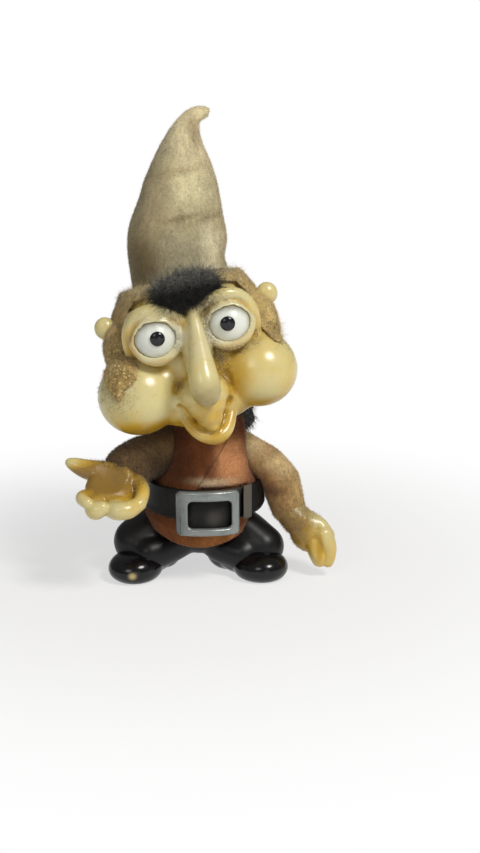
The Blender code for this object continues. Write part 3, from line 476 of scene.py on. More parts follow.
def with_modifiers(mesh: Mesh, *steps: tuple[str, dict[str, object]]) -> Mesh:
    """Runs modifiers on a mesh.

    Args:
        mesh: the mesh to start from.
        steps: each modifier's type and its settings.

    Returns:
        The mesh that they make.
    """
    holder = object_of(mesh.name, mesh)
    for kind, settings in steps:
        modifier = holder.modifiers.new(kind.lower(), kind)
        for name, value in settings.items():
            setattr(modifier, name, value)
    return finished(holder)


def boolean(mesh: Mesh, cutter: Mesh, operation: str = "DIFFERENCE") -> Mesh:
    """Cuts a mesh by another, or keeps what both share."""
    holder = object_of("cutter", cutter)
    settings = {"operation": operation, "solver": "EXACT", "object": holder}
    made = with_modifiers(mesh, ("BOOLEAN", settings))
    bpy.data.objects.remove(holder)
    return made


def even_steps(low: float, high: float, steps: int) -> list[float]:
    """Values from low to high, evenly spaced."""
    return [low + (high - low) * step / steps for step in range(steps + 1)]


def mirrored(line: Iterable[tuple[float, ...]]) -> list[tuple[float, ...]]:
    """A line's mirror image on the other side."""
    return [(-x, *rest) for x, *rest in line]


def away_from(centre: Point, points: Array) -> Array:
    """The way from a centre to each point, with a length of one."""
    way = points - np.array(centre)
    return way / np.linalg.norm(way, axis=1)[:, None]


def to_segment(points: Array, start: Array, end: Array) -> Array:
    """Each point's distance to the straight line between two places."""
    along = end - start
    gap = points - start
    share = np.clip(gap @ along / max(along @ along, 1e-9), 0.0, 1.0)
    return np.linalg.norm(gap - share[:, None] * along, axis=1)


def rounded_step(a: float, b: float, c: float, d: float, t: float) -> float:
    """The value a share t of the way from b to c, on a rounded line that also passes a and d."""
    bend = (a - 2.5 * b + 2 * c - d / 2) * t**2
    return b + (c - a) * t / 2 + bend + (1.5 * (b - c) + (d - a) / 2) * t**3


def rounded(points: Sequence[tuple[float, ...]], steps: int = 4) -> list[tuple[float, ...]]:
    """A rounded line through points, with more points in between."""
    if len(points) < 3:
        return list(points)
    ends = [points[0], *points, points[-1]]
    line = []
    for group in zip(ends, ends[1:], ends[2:], ends[3:]):
        for step in range(steps):
            line.append(tuple(rounded_step(*values, step / steps) for values in zip(*group)))
    return [*line, points[-1]]


class Clay:
    """Overlapping balls and limbs of modelling clay, to be fused into one skin."""

    def __init__(self) -> None:
        """Starts with no clay."""
        self.shape = bmesh.new()

    def add(self, lump: bmesh.types.BMesh) -> "Clay":
        """Adds one lump to those already there."""
        mesh = mesh_of(lump, "lump")
        self.shape.from_mesh(mesh)
        bpy.data.meshes.remove(mesh)
        return self

    def ball(self, centre: Point, radii: Point, turn: Point = (0.0, 0.0, 0.0), grow: float = 0.0) -> "Clay":
        """An ellipsoid, turned by angles in degrees and grown all round."""
        turned = Euler([math.radians(angle) for angle in turn]).to_matrix().to_4x4()
        size = Matrix.Diagonal((*(radius + grow for radius in radii), 1.0))
        lump = bmesh.new()
        place = Matrix.Translation(centre) @ turned @ size
        bmesh.ops.create_uvsphere(lump, u_segments=32, v_segments=20, radius=1.0, matrix=place)
        return self.add(lump)

    def balls(self, lumps: Iterable[Lump]) -> "Clay":
        """Several ellipsoids, each with a centre, radii and maybe a turn."""
        for lump in lumps:
            self.ball(*lump)
        return self

    def pair(self, centre: Point, radii: Point, turn: Point = (0.0, 0.0, 0.0), grow: float = 0.0) -> "Clay":
        """A ball on the left and its mirror image on the right."""
        x, y, z = centre
        self.ball(centre, radii, turn, grow)
        return self.ball((-x, y, z), radii, (turn[0], -turn[1], -turn[2]), grow)

    def limb(self, points: Sequence[Knot]) -> "Clay":
        """Balls joined by cones, along a rounded line through points given as (x, y, z, radius)."""
        points = rounded(points)
        for x, y, z, radius in points:
            self.ball((x, y, z), (radius, radius, radius))
        for first, second in zip(points, points[1:]):
            start, end = Vector(first[:3]), Vector(second[:3])
            along = end - start
            turned = along.to_track_quat("Z", "Y").to_matrix().to_4x4()
            lump = bmesh.new()
            bmesh.ops.create_cone(
                lump,
                cap_ends=True,
                segments=24,
                radius1=first[3],
                radius2=second[3],
                depth=along.length,
                matrix=Matrix.Translation((start + end) / 2) @ turned,
            )
            self.add(lump)
        return self

    def skin(self, name: str, voxel: float, smoothing: int) -> Mesh:
        """One closed skin over all the lumps, softened where they meet."""
        return with_modifiers(
            mesh_of(self.shape, name),
            ("REMESH", {"mode": "VOXEL", "voxel_size": voxel}),
            ("SMOOTH", {"factor": 0.5, "iterations": smoothing}),
        )


class Skin:
    """A mesh's points and normals as arrays in millimetres, to press, pull and paint."""

    def __init__(self, mesh: Mesh) -> None:
        """Reads the mesh."""
        self.mesh = mesh
        self.points = points_of(mesh)
        ends = np.empty(len(mesh.edges) * 2, np.int32)
        mesh.edges.foreach_get("vertices", ends)
        self.ends = ends.reshape(-1, 2)
        self.degree = np.bincount(self.ends.ravel(), minlength=len(self.points)).clip(1)

    def normals(self) -> Array:
        """The normals of the points as they are now."""
        self.write()
        found = np.empty(len(self.mesh.vertices) * 3, np.float32)
        self.mesh.vertices.foreach_get("normal", found)
        return found.reshape(-1, 3).astype(float)

    def write(self) -> Mesh:
        """Writes the points back to the mesh."""
        self.mesh.vertices.foreach_set("co", self.points.astype(np.float32).ravel())
        self.mesh.update()
        return self.mesh

    def averaged(self, values: Array) -> Array:
        """Each point's value replaced by the mean of its neighbours'."""
        first, second = self.ends.T
        sums = [
            np.bincount(first, column[second], len(column)) + np.bincount(second, column[first], len(column))
            for column in values.T
        ]
        return (np.array(sums) / self.degree).T

    def smooth(self, rounds: int, share: Array | float = 1.0) -> "Skin":
        """Softens the shape, by a share at each point."""
        share = np.broadcast_to(share, len(self.points))[:, None]
        for _ in range(rounds):
            self.points += share * 0.5 * (self.averaged(self.points) - self.points)
        return self

    def hollows(self, rounds: int, depth: float) -> Array:
        """How far each point lies in a hollow, from 0 to 1 at a depth in millimetres."""
        soft = self.points.copy()
        for _ in range(rounds):
            soft += 0.5 * (self.averaged(soft) - soft)
        deep = ((soft - self.points) * self.normals()).sum(1)
        return np.clip(deep / depth, 0.0, 1.0)

    def near_line(self, line: Sequence[Point]) -> Array:
        """Each point's distance to a line of points."""
        line = np.array(line, float)
        best = np.full(len(self.points), 1e9)
        low, high = line.min(0) - 6.0, line.max(0) + 6.0
        close = np.flatnonzero(((self.points > low) & (self.points < high)).all(1))
        for start, end in zip(line, line[1:]):
            best[close] = np.minimum(best[close], to_segment(self.points[close], start, end))
        return best

    def press(self, line: Sequence[Point], radius: float, depth: float) -> "Skin":
        """Presses a groove along a line, or raises a ridge where the depth is negative."""
        push = soft_edged(self.near_line(line) / radius) * depth
        self.points -= push[:, None] * self.normals()
        return self

    def dent(self, dents: Iterable[tuple[Point, float, float]]) -> "Skin":
        """Presses round dents, each a middle, a radius and a depth, or bulges where the depth is negative."""
        normals = self.normals()
        push = np.zeros(len(self.points))
        for middle, radius, depth in dents:
            push += soft_edged(np.linalg.norm(self.points - np.array(middle), axis=1) / radius) * depth
        self.points -= normals * push[:, None]
        return self

    def pocket(self, centre: Point, radius: float) -> "Skin":
        """Pushes what lies within a ball to the back of it, which leaves a socket."""
        gap = self.points - np.array(centre)
        flat = gap[:, 0] ** 2 + gap[:, 2] ** 2
        inside = (gap**2).sum(1) < radius**2
        self.points[inside, 1] = centre[1] + np.sqrt(radius**2 - flat[inside])
        return self

    def swell(self, size: float, amount: float, seed: int, low: float = -1e9, high: float = 1e9) -> "Skin":
        """Soft random swells and dents of about a size, between two heights."""
        normals = self.normals()
        waves = soft_waves(self.points / size, seed)
        z = self.points[:, 2]
        fade = np.clip((z - low) / size, 0.0, 1.0) * np.clip((high - z) / size, 0.0, 1.0)
        self.points += normals * (waves * amount * fade)[:, None]
        return self


def soft_edged(near: Array) -> Array:
    """A share that falls softly from 1 in the middle to 0 at a distance of one."""
    return np.where(near < 1.0, (1.0 - near**2) ** 2, 0.0)


def soft_waves(places: Array, seed: int) -> Array:
    """A smooth random value from about -1 to 1 at each place, from a few crossed waves."""
    rng = np.random.default_rng(seed)
    total = np.zeros(len(places))
    for _ in range(7):
        way = rng.normal(size=3)
        way /= np.linalg.norm(way)
        total += np.sin(places @ way * rng.uniform(1.6, 4.2) + rng.uniform(0.0, math.tau))
    return total / 3.0


@dataclass(frozen=True)
class Stain:
    """A soft-edged patch of a colour, or of a painted number."""

    centre: Point
    radii: Point
    strength: float = 1.0
    dye: Point = (0.0, 0.0, 0.0)

    def share(self, points: Array) -> Array:
        """How much of the patch each point takes."""
        gap = (points - np.array(self.centre)) / np.array(self.radii)
        return np.exp(-((gap**2).sum(1) ** 1.5)) * self.strength


def dyed(points: Array, base: Point, stains_and_light: Iterable[Stain]) -> Array:
    """Colours for points: a base with stains laid over it in order."""
    colour = np.tile(np.array(base, float), (len(points), 1))
    for stain in stains_and_light:
        share = stain.share(points)[:, None]
        colour = colour * (1.0 - share) + np.array(stain.dye) * share
    return colour


def strength_of(points: Array, stains_and_light: Iterable[Stain]) -> Array:
    """A painted number from 0 to 1: what the stains add up to."""
    total = np.zeros(len(points))
    for stain in stains_and_light:
        total += stain.share(points)
    return np.clip(total, 0.0, 1.0)


def paint(mesh: Mesh, **values: Array | float) -> None:
    """Writes numbers, or colours of three channels, on a mesh's vertices."""
    count = len(mesh.vertices)
    for name, given in values.items():
        given = np.asarray(given, float)
        if given.ndim == 2:
            colours = np.concatenate([given, np.ones((count, 1))], 1)
            layer = mesh.attributes.new(name, "FLOAT_COLOR", "POINT")
            layer.data.foreach_set("color", colours.astype(np.float32).ravel())
        else:
            layer = mesh.attributes.new(name, "FLOAT", "POINT")
            layer.data.foreach_set("value", np.broadcast_to(given, count).astype(np.float32))


def shown(name: str, mesh: Mesh, place: Place, finish: Material) -> bpy.types.Object:
    """Moves a mesh from its own frame in millimetres to the shared one, and shows it with its finish."""
    mesh.name = name
    mesh.transform(Matrix.Scale(MM, 4) @ PLACES[place])
    mesh.materials.clear()
    mesh.materials.append(finish)
    mesh.shade_smooth()
    log.info("%s: %d faces", name, len(mesh.polygons))
    return object_of(name, mesh)


def add_piece(
    name: str,
    mesh: Mesh,
    place: Place,
    finish: Material,
    nodes: Sequence[str] = (),
) -> None:
    """Puts a finished mesh where it belongs.

    Args:
        name: the piece's name.
        mesh: its mesh, in millimetres in its own frame.
        place: the frame that it was shaped in, named for the moving body that carries it.
        finish: its material.
        nodes: the solids that it stands for.
    """
    piece = shown(name, mesh, place, finish)
    body = place.value
    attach(piece, body)
    if nodes:
        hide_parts(*nodes)


@dataclass(frozen=True)
class Fibres:
    """A coat of fibres, each a slim tapered spike of three sides, scattered over a surface."""

    count: int
    length: float
    radius: float
    comb: Point = (0.0, 0.0, 0.0)
    spread: float = 0.5
    bend: Point = (0.0, 0.0, 0.0)
    sections: int = 1
    curl: float = 0.0
    seed: int = 1
    sink: float = 0.06

    def spike(self, name: str) -> Mesh:
        """One upright spike, a millimetre long and two across, copied in place as often as is needed."""
        shape = bmesh.new()
        made = bmesh.ops.create_circle(shape, cap_ends=True, segments=3, radius=1.0)
        edges = list({edge for vert in made["verts"] for edge in vert.link_edges})
        for section in range(1, self.sections + 1):
            share = section / self.sections
            pulled = bmesh.ops.extrude_edge_only(shape, edges=edges)["geom"]
            verts = [item for item in pulled if isinstance(item, bmesh.types.BMVert)]
            edges = [item for item in pulled if isinstance(item, bmesh.types.BMEdge)]
            width = max(1.0 - share**1.6, 1e-4)
            for vert in verts:
                vert.co = (*(vert.co.xy.normalized() * width), share)
        bmesh.ops.remove_doubles(shape, verts=shape.verts, dist=1e-3)
        settings = {"count": self.count, "use_relative_offset": False, "use_merge_vertices": False}
        return with_modifiers(mesh_of(shape, name), ("ARRAY", settings))

    def grow(
        self,
        name: str,
        skin: Mesh,
        dye: Callable[[Array], Array] | None = None,
        keep: Callable[[Array, Array], Array] | None = None,
        longer: Callable[[Array], Array] | None = None,
    ) -> Mesh:
        """Grows the fibres.

        Args:
            name: the mesh's name.
            skin: the surface that they grow from.
            dye: gives colours for places, if they are dyed.
            keep: gives the chance from 0 to 1 that a fibre grows at a place with a normal.
            longer: gives a factor on the length for places.

        Returns:
            All the fibres as one mesh, painted with tip, shade and any dye.
        """
        rng = np.random.default_rng(self.seed)
        roots, normals = scattered(skin, self.count, rng, keep)
        count = len(roots)
        mesh = self.spike(name)
        base = points_of(mesh).reshape(count, -1, 3)[0]
        way = normals + np.array(self.comb) + rng.normal(scale=self.spread, size=(count, 3))
        way /= np.linalg.norm(way, axis=1)[:, None]
        size = self.length * rng.uniform(0.6, 1.25, count)
        if longer is not None:
            size *= longer(roots)
        side = np.cross(way, rng.normal(size=(count, 3)))
        side /= np.linalg.norm(side, axis=1)[:, None]
        other = np.cross(way, side)
        droop = np.array(self.bend) + rng.normal(scale=self.curl, size=(count, 3))
        x, y, t = base.T
        middle = roots - normals * self.sink
        points = middle[:, None] + way[:, None] * (t[None, :, None] * size[:, None, None])
        points += droop[:, None] * (t**2)[None, :, None] * size[:, None, None]
        points += self.radius * (side[:, None] * x[None, :, None] + other[:, None] * y[None, :, None])
        mesh.vertices.foreach_set("co", points.astype(np.float32).ravel())
        mesh.update()
        paint(mesh, tip=np.tile(t, count), shade=np.repeat(rng.uniform(0.0, 1.0, count), len(base)))
        if dye is not None:
            paint(mesh, dye=np.repeat(dye(roots), len(base), axis=0))
        return mesh


def scattered(
    skin: Mesh,
    count: int,
    rng: np.random.Generator,
    keep: Callable[[Array, Array], Array] | None,
) -> tuple[Array, Array]:
    """Random places on a mesh, even by area or as keep has it, with the normals there."""
    skin.calc_loop_triangles()
    corners = np.empty(len(skin.loop_triangles) * 3, np.int32)
    skin.loop_triangles.foreach_get("vertices", corners)
    faces = points_of(skin)[corners.reshape(-1, 3)]
    across = np.cross(faces[:, 1] - faces[:, 0], faces[:, 2] - faces[:, 0])
    area = np.linalg.norm(across, axis=1)
    across /= np.maximum(area, 1e-12)[:, None]
    if keep is not None:
        area = area * np.clip(keep(faces.mean(1), across), 0.0, 1.0)
    chosen = rng.choice(len(faces), size=count, p=area / area.sum())
    share = rng.uniform(size=(count, 2))
    flip = share.sum(1) > 1.0
    share[flip] = 1.0 - share[flip]
    first, second = (faces[chosen, 1] - faces[chosen, 0]), (faces[chosen, 2] - faces[chosen, 0])
    places = faces[chosen, 0] + first * share[:, :1] + second * share[:, 1:]
    return places, across[chosen]


def pull(shape: bmesh.types.BMesh, faces: Iterable[bmesh.types.BMFace], way: Point) -> None:
    """Pulls faces along a way into a solid."""
    made = bmesh.ops.extrude_face_region(shape, geom=list(faces))
    moved = [item for item in made["geom"] if isinstance(item, bmesh.types.BMVert)]
    bmesh.ops.translate(shape, verts=moved, vec=way)


def prism(outline: Sequence[Pair], axis: str, low: float, high: float) -> Mesh:
    """A cutter with an outline in the X-Z plane, pulled along Y, or in the Y-Z plane, pulled along X."""
    shape = bmesh.new()
    if axis == "Y":
        points, way = [(a, low, b) for a, b in outline], (0.0, high - low, 0.0)
    else:
        points, way = [(low, a, b) for a, b in outline], (high - low, 0.0, 0.0)
    face = shape.faces.new([shape.verts.new(point) for point in points])
    pull(shape, [face], way)
    bmesh.ops.triangulate(shape, faces=shape.faces)
    return mesh_of(shape, "prism")


def round_off(shape: bmesh.types.BMesh, edges: list, radius: float, segments: int) -> None:
    """Rounds edges off with a few segments each."""
    bmesh.ops.bevel(
        shape,
        geom=edges,
        offset=radius,
        offset_type="OFFSET",
        segments=segments,
        profile=0.5,
        affect="EDGES",
        material=-1,
    )


def slab(through: Point, slope: float, above: bool, size: float = 80.0) -> Mesh:
    """A big cutter above or below a plane that leans back by a slope about X."""
    shape = bmesh.new()
    tilt = Matrix.Rotation(math.radians(slope), 4, "X")
    shift = Matrix.Translation((0.0, 0.0, 0.5 if above else -0.5))
    place = Matrix.Translation(through) @ tilt @ Matrix.Scale(size, 4) @ shift
    bmesh.ops.create_cube(shape, size=1.0, matrix=place)
    return mesh_of(shape, "slab")


def swept(name: str, line: Sequence[tuple[Point, float]], rings: int, sides: int) -> Mesh:
    """A closed tube of changing radius along a smooth line of (place, radius)."""
    curve = bpy.data.curves.new(name, "CURVE")
    curve.dimensions = "3D"
    curve.bevel_depth = 1.0
    curve.bevel_resolution = sides // 4 - 1
    curve.resolution_u = rings
    curve.use_fill_caps = True
    spline = curve.splines.new("NURBS")
    spline.points.add(len(line) - 1)
    spline.order_u = 4
    spline.use_endpoint_u = True
    for point, (place, radius) in zip(spline.points, line):
        point.co = (*place, 1.0)
        point.radius = radius
    shape = bmesh.new()
    shape.from_mesh(finished(object_of(name, curve)))
    bmesh.ops.remove_doubles(shape, verts=shape.verts, dist=1e-4)
    return mesh_of(shape, name)


# Head.

# The hat's rim sinks towards the back by this share of the way.
RIM_FALL = 0.24


@dataclass
class Face:
    """The vinyl head: skull, cheeks, long nose, beak-like upper lip, grin, eyelids, brows and ears."""

    voxel: float = 0.27
    skull: Lump = ((0.0, 0.0, 15.5), (13.5, 13.0, 13.9))
    middle: Lump = ((0.0, -6.5, 12.0), (11.0, 8.4, 11.5))
    right_cheek: Lump = ((-12.4, -10.4, 7.3), (8.0, 7.3, 7.6))
    left_cheek: Lump = ((11.2, -10.4, 7.3), (7.4, 7.1, 7.2))
    jowl: Lump = ((7.6, -8.6, 8.0), (6.4, 6.6, 6.8))
    chin: Lump = ((0.0, -10.4, 3.5), (10.2, 5.6, 4.7))
    muzzle: tuple[Lump, ...] = (
        ((0.2, -14.6, 13.0), (3.0, 3.8, 8.2)),
        ((-0.2, -15.0, 6.4), (5.0, 4.6, 3.6)),
        ((-0.3, -15.9, 4.0), (3.7, 3.9, 3.0)),
        ((-0.2, -16.6, 2.0), (2.6, 3.2, 2.4)),
        ((0.0, -17.0, 0.4), (1.5, 2.4, 1.7)),
    )
    mouth_floor: Lump = ((-0.1, -13.8, 0.0), (3.6, 3.4, 2.9))
    ear: Lump = ((16.1, -2.0, 19.9), (2.2, 1.7, 2.3))
    ear_root: Lump = ((14.2, -1.8, 18.4), (2.8, 1.6, 2.4), (0, 35, 0))
    right_lobe: Lump = ((-15.4, -2.4, 18.4), (1.5, 1.4, 1.9), (0, -20, 0))
    nose_root: Lump = ((2.9, -13.7, 20.2), (1.7, 1.7, 2.4))
    brow_root: Lump = ((4.4, -13.7, 22.0), (2.2, 1.6, 1.7))
    mouth_corner: Lump = ((-5.4, -14.2, 5.6), (1.6, 1.6, 1.7))
    socket: Point = (5.2, 4.2, 5.0)
    socket_back: float = 1.6
    temples: tuple[Lump, ...] = (
        ((9.8, -9.4, 18.6), (3.0, 3.6, 5.0)),
        ((10.4, -11.4, 18.8), (2.6, 2.2, 4.4)),
    )
    eye: Point = (7.0, -13.3, 18.2)
    eye_radius: float = 4.4
    eye_gap: float = 0.1
    lid_half: Pair = (4.3, 3.95)
    lid_radius: float = 1.15
    lid_forward: float = 2.5
    fold_half: Pair = (4.9, 4.4)
    fold_forward: float = 1.8
    crown: float = 25.1
    forehead: Lump = ((0.0, -8.0, 21.0), (9.2, 6.0, 6.6))
    nose: tuple[Knot, ...] = (
        (0.9, -14.0, 22.8, 1.1), (0.8, -15.9, 20.8, 1.2), (0.7, -17.5, 17.6, 1.55),
        (0.4, -19.4, 14.0, 2.15), (0.1, -20.9, 10.8, 2.8), (0.0, -21.6, 8.6, 2.95),
        (0.0, -21.3, 7.4, 2.65),
    )
    lip: tuple[Knot, ...] = (
        (-5.6, -13.6, 3.8, 0.85), (-4.5, -15.0, 1.2, 1.1), (-3.0, -16.3, -0.8, 1.3),
        (-1.2, -17.0, -1.9, 1.45), (0.5, -17.2, -2.2, 1.5), (2.1, -16.6, -1.6, 1.4),
        (3.3, -15.4, -0.2, 1.25), (4.2, -14.2, 1.6, 1.1), (4.9, -13.2, 3.6, 0.9),
    )
    left_brow: tuple[Knot, ...] = (
        (12.0, -11.2, 14.4, 1.0), (12.2, -12.2, 17.6, 1.15), (11.6, -13.2, 20.7, 1.25),
        (9.8, -14.2, 23.0, 1.3), (7.4, -14.9, 23.8, 1.25), (5.0, -15.1, 23.6, 1.15),
        (3.0, -15.2, 22.8, 0.95), (1.6, -15.0, 21.6, 0.8),
    )
    right_brow: tuple[Knot, ...] = (
        (-12.1, -11.0, 15.0, 1.1), (-12.2, -12.0, 17.6, 1.3), (-11.4, -12.9, 20.4, 1.5),
        (-9.4, -13.8, 22.7, 1.6), (-7.0, -14.4, 23.4, 1.55), (-4.8, -14.6, 23.0, 1.3),
        (-2.8, -14.8, 22.0, 1.0), (-1.4, -14.8, 20.8, 0.8),
    )
    mouth: tuple[Point, ...] = (
        (-5.4, -15.7, 4.8), (-4.0, -16.7, 3.0), (-2.9, -17.8, 0.9), (-1.6, -18.6, -0.5),
        (0.1, -18.9, -1.1), (1.5, -18.5, -0.7), (2.5, -17.4, 0.7), (3.4, -16.4, 2.3), (4.5, -15.2, 4.2),
    )
    mouth_groove: Pair = (0.62, 0.6)
    fold_groove: Pair = (0.9, 0.4)
    creases: tuple[Groove, ...] = (
        (((3.4, -15.6, 12.5), (4.4, -15.0, 9.4), (4.9, -14.4, 6.8)), 1.2, 0.35),
        (((-3.6, -15.6, 12.5), (-4.6, -15.0, 9.4), (-5.6, -14.4, 7.6)), 1.2, 0.35),
    )
    nose_middle: Point = (0.0, -19.0, 14.0)
    mouth_middle: Point = (0.0, -17.0, 2.0)
    fine_reach: float = 9.0
    ear_reach: float = 4.5
    smoothing: int = 5
    softening: int = 26
    strays: Fibres = Fibres(5200, 0.42, 0.024, spread=0.9, curl=0.5, seed=5)

    def eyelid(self) -> list[Knot]:
        """The roll round the left eye: full below, thinner above and drawn back at the corners."""
        x, y, z = self.eye
        wide, tall = self.lid_half
        points = []
        for step in range(33):
            angle = math.tau * step / 32
            aside, up = math.cos(angle), math.sin(angle)
            over, under = max(0.0, up), max(0.0, -up)
            forward = self.lid_forward + 0.1 * under - 0.7 * aside**2 - 0.2 * aside
            height = tall * up * abs(up) ** 0.25 * (1.0 - 0.12 * over)
            thick = self.lid_radius * (0.8 + 0.24 * under - 0.18 * over)
            points.append((x + wide * aside, y - forward, z + height, thick))
        return points

    def brow_fold(self) -> list[Point]:
        """The groove between the left brow and the eyelid."""
        x, y, z = self.eye
        wide, tall = self.fold_half
        angles = [math.radians(angle) for angle in range(15, 142, 14)]
        return [(x + wide * math.cos(a), y - self.fold_forward, z + tall * math.sin(a)) for a in angles]

    def clay(self) -> Clay:
        """All the lumps of the head."""
        x, y, z = self.eye
        clay = Clay()
        clay.balls((self.skull, self.middle, self.forehead, self.right_cheek, self.left_cheek))
        clay.pair(*self.jowl)
        clay.ball(*self.chin)
        clay.limb(self.nose)
        clay.balls(self.muzzle)
        clay.limb(self.lip)
        clay.ball(*self.mouth_floor)
        clay.limb(self.left_brow)
        clay.limb(self.right_brow)
        clay.pair((x, y + self.socket_back, z), self.socket)
        clay.limb(self.eyelid())
        clay.limb(mirrored(self.eyelid()))
        clay.pair(*self.ear)
        clay.pair(*self.ear_root)
        clay.ball(*self.right_lobe)
        clay.pair(*self.nose_root)
        clay.ball(*self.brow_root)
        for temple in self.temples:
            clay.pair(*temple)
        clay.ball(*self.mouth_corner)
        return clay

    def detail(self, skin: Skin) -> Array:
        """How much each point of the skin keeps its fine form, from 0 to 1."""
        near = np.zeros(len(skin.points))
        fine = [(place, self.fine_reach) for place in (self.eye, self.nose_middle, self.mouth_middle)]
        for (x, y, z), reach in (*fine, (self.ear[0], self.ear_reach)):
            for side in (1, -1):
                gap = np.linalg.norm(skin.points - np.array((side * x, y, z)), axis=1) / reach
                near = np.maximum(near, np.clip(1.6 * (1.0 - gap), 0.0, 1.0))
        return near

    @staticmethod
    def stray_dye(points: Array) -> Array:
        """Stray fibres are golden by the right flap and brown elsewhere."""
        golden = Stain((-15.0, -13.0, 10.5), (5.0, 6.0, 4.5), 0.9, tone(146, 114, 58))
        return dyed(points, tone(96, 76, 46), [golden])

    def stray_places(self, points: Array, normals: Array) -> Array:
        """Stray fibres cling where the dirt does, by the flaps and by the hat's rim, but not on the eyes."""
        x, y, z = self.eye
        near = [np.linalg.norm(points - np.array((side * x, y, z)), axis=1) for side in (1, -1)]
        clear = np.minimum(*near) > self.eye_radius + 0.4
        fringe = [
            Stain((-16.0, -14.0, 9.4), (3.4, 6.0, 3.6)),
            Stain((15.6, -9.0, 11.0), (1.8, 5.0, 2.2)),
            Stain((0.0, -15.5, 23.4), (11.0, 4.0, 2.0), 0.5),
        ]
        return (strength_of(points, self.grime()) ** 1.5 + strength_of(points, fringe)) * clear

    def build(self, finish: Material, flock: Material) -> None:
        """Sculpts, paints and places the head, with stray flock in its grimy places."""
        skin = Skin(self.clay().skin("head", self.voxel, self.smoothing))
        skin.smooth(self.softening, 1.0 - self.detail(skin))
        skin.points[:, 2] = np.minimum(skin.points[:, 2], self.crown - RIM_FALL * skin.points[:, 1])
        x, y, z = self.eye
        for side in (1, -1):
            skin.pocket((side * x, y, z), self.eye_radius + self.eye_gap)
        skin.press(rounded(self.mouth), *self.mouth_groove)
        for fold in (self.brow_fold(), mirrored(self.brow_fold())):
            skin.press(fold, *self.fold_groove)
        for crease in self.creases:
            skin.press(*crease)
        skin.smooth(1)
        mesh = skin.write()
        # Darker and browner beside the nose, under the eyes and along the mouth line, with painted shade on
        # and under the lip and under the cheeks.
        amber_and_shade = strength_of(skin.points, self.browned_and_shaded())
        amber_and_shade += 0.8 * np.exp(-((skin.near_line(rounded(self.mouth)) / 0.45) ** 2))
        paint(
            mesh,
            hollow=np.clip(0.75 * skin.hollows(rounds=30, depth=0.42) + amber_and_shade, 0.0, 1.0),
            soil=strength_of(skin.points, self.grime()),
            bloom=strength_of(skin.points, self.dusty()),
            wash=strength_of(skin.points, self.washed()),
        )
        strays = self.strays.grow("stray_flock", mesh, self.stray_dye, self.stray_places)
        add_piece("gnome_head", mesh, Place.HEAD, finish, ["head"])
        add_piece("stray_flock", strays, Place.HEAD, flock)

    @staticmethod
    def grime() -> list[Stain]:
        """Where dark specks gather: by the nose, left eye, mouth, right flap and hat's rim."""
        return [
            Stain((3.3, -15.5, 14.0), (1.5, 4.0, 4.6), 0.6),
            Stain((4.4, -15.0, 9.6), (1.6, 4.0, 3.0), 0.6),
            Stain((7.6, -15.0, 13.3), (4.4, 3.5, 1.5), 0.65),
            Stain((-3.2, -15.5, 17.0), (1.5, 3.5, 3.4), 0.45),
            Stain((-4.4, -15.5, 8.6), (1.5, 3.5, 2.2), 0.5),
            Stain((3.0, -16.0, 20.5), (1.4, 3.0, 3.0), 0.8),
            Stain((11.4, -12.6, 14.6), (2.0, 3.0, 1.6), 0.5),
            Stain((-14.8, -12.0, 10.0), (3.8, 6.0, 3.6), 0.7),
            Stain((-5.0, -17.0, 3.2), (1.4, 2.5, 2.0), 0.3),
            Stain((5.2, -15.5, 4.6), (1.2, 2.5, 2.0), 0.3),
            Stain((0.0, -15.0, 23.6), (6.0, 4.0, 1.6), 0.7),
        ]

    @staticmethod
    def dusty() -> list[Stain]:
        """Where a greyish bloom dulls the yellow: the nose's bulb and below the left cheek."""
        return [
            Stain((0.0, -23.0, 7.2), (3.4, 3.0, 2.8), 0.6),
            Stain((8.0, -14.0, 2.0), (4.0, 6.0, 2.2), 0.3),
        ]

    @staticmethod
    def browned_and_shaded() -> list[Stain]:
        """Where the vinyl is painted darker and browner: beside the nose, under the eyes and by the right
        eye, and as painted shade on and under the lip and under the cheeks.
        """
        return [
            Stain((6.6, -15.5, 8.4), (2.8, 4.0, 4.6), 0.3),
            Stain((-4.8, -15.5, 9.6), (1.6, 4.0, 3.6), 0.15),
            Stain((0.0, -18.0, 1.2), (4.4, 4.0, 3.4), 0.35),
            Stain((0.0, -17.0, -3.4), (5.0, 5.0, 1.4), 0.5),
            Stain((-12.5, -13.0, 0.6), (8.0, 8.0, 2.8), 0.6),
            Stain((11.0, -13.0, 0.6), (7.0, 8.0, 2.2), 0.45),
            Stain((7.0, -17.0, 13.9), (4.2, 3.0, 0.8), 0.35),
            Stain((-7.0, -17.0, 13.9), (4.2, 3.0, 0.8), 0.45),
            Stain((-11.4, -15.0, 17.4), (1.4, 3.0, 3.0), 0.5),
        ]

    @staticmethod
    def washed() -> list[Stain]:
        """Where the eyes' white paint strays round the eyes, and where a thin painted highlight runs along
        the nose.
        """
        return [
            Stain((-2.9, -16.0, 18.2), (1.2, 3.0, 2.0), 0.8),
            Stain((3.3, -16.0, 17.4), (1.0, 3.0, 2.4), 0.6),
            Stain((7.0, -16.6, 18.2), (5.6, 3.0, 5.2), 0.75),
            Stain((-7.0, -16.6, 18.2), (5.6, 3.0, 5.2), 0.75),
            # A painted highlight down the nose's ridge.
            Stain((0.5, -19.0, 14.5), (2.4, 4.0, 6.0), 0.4),
        ]


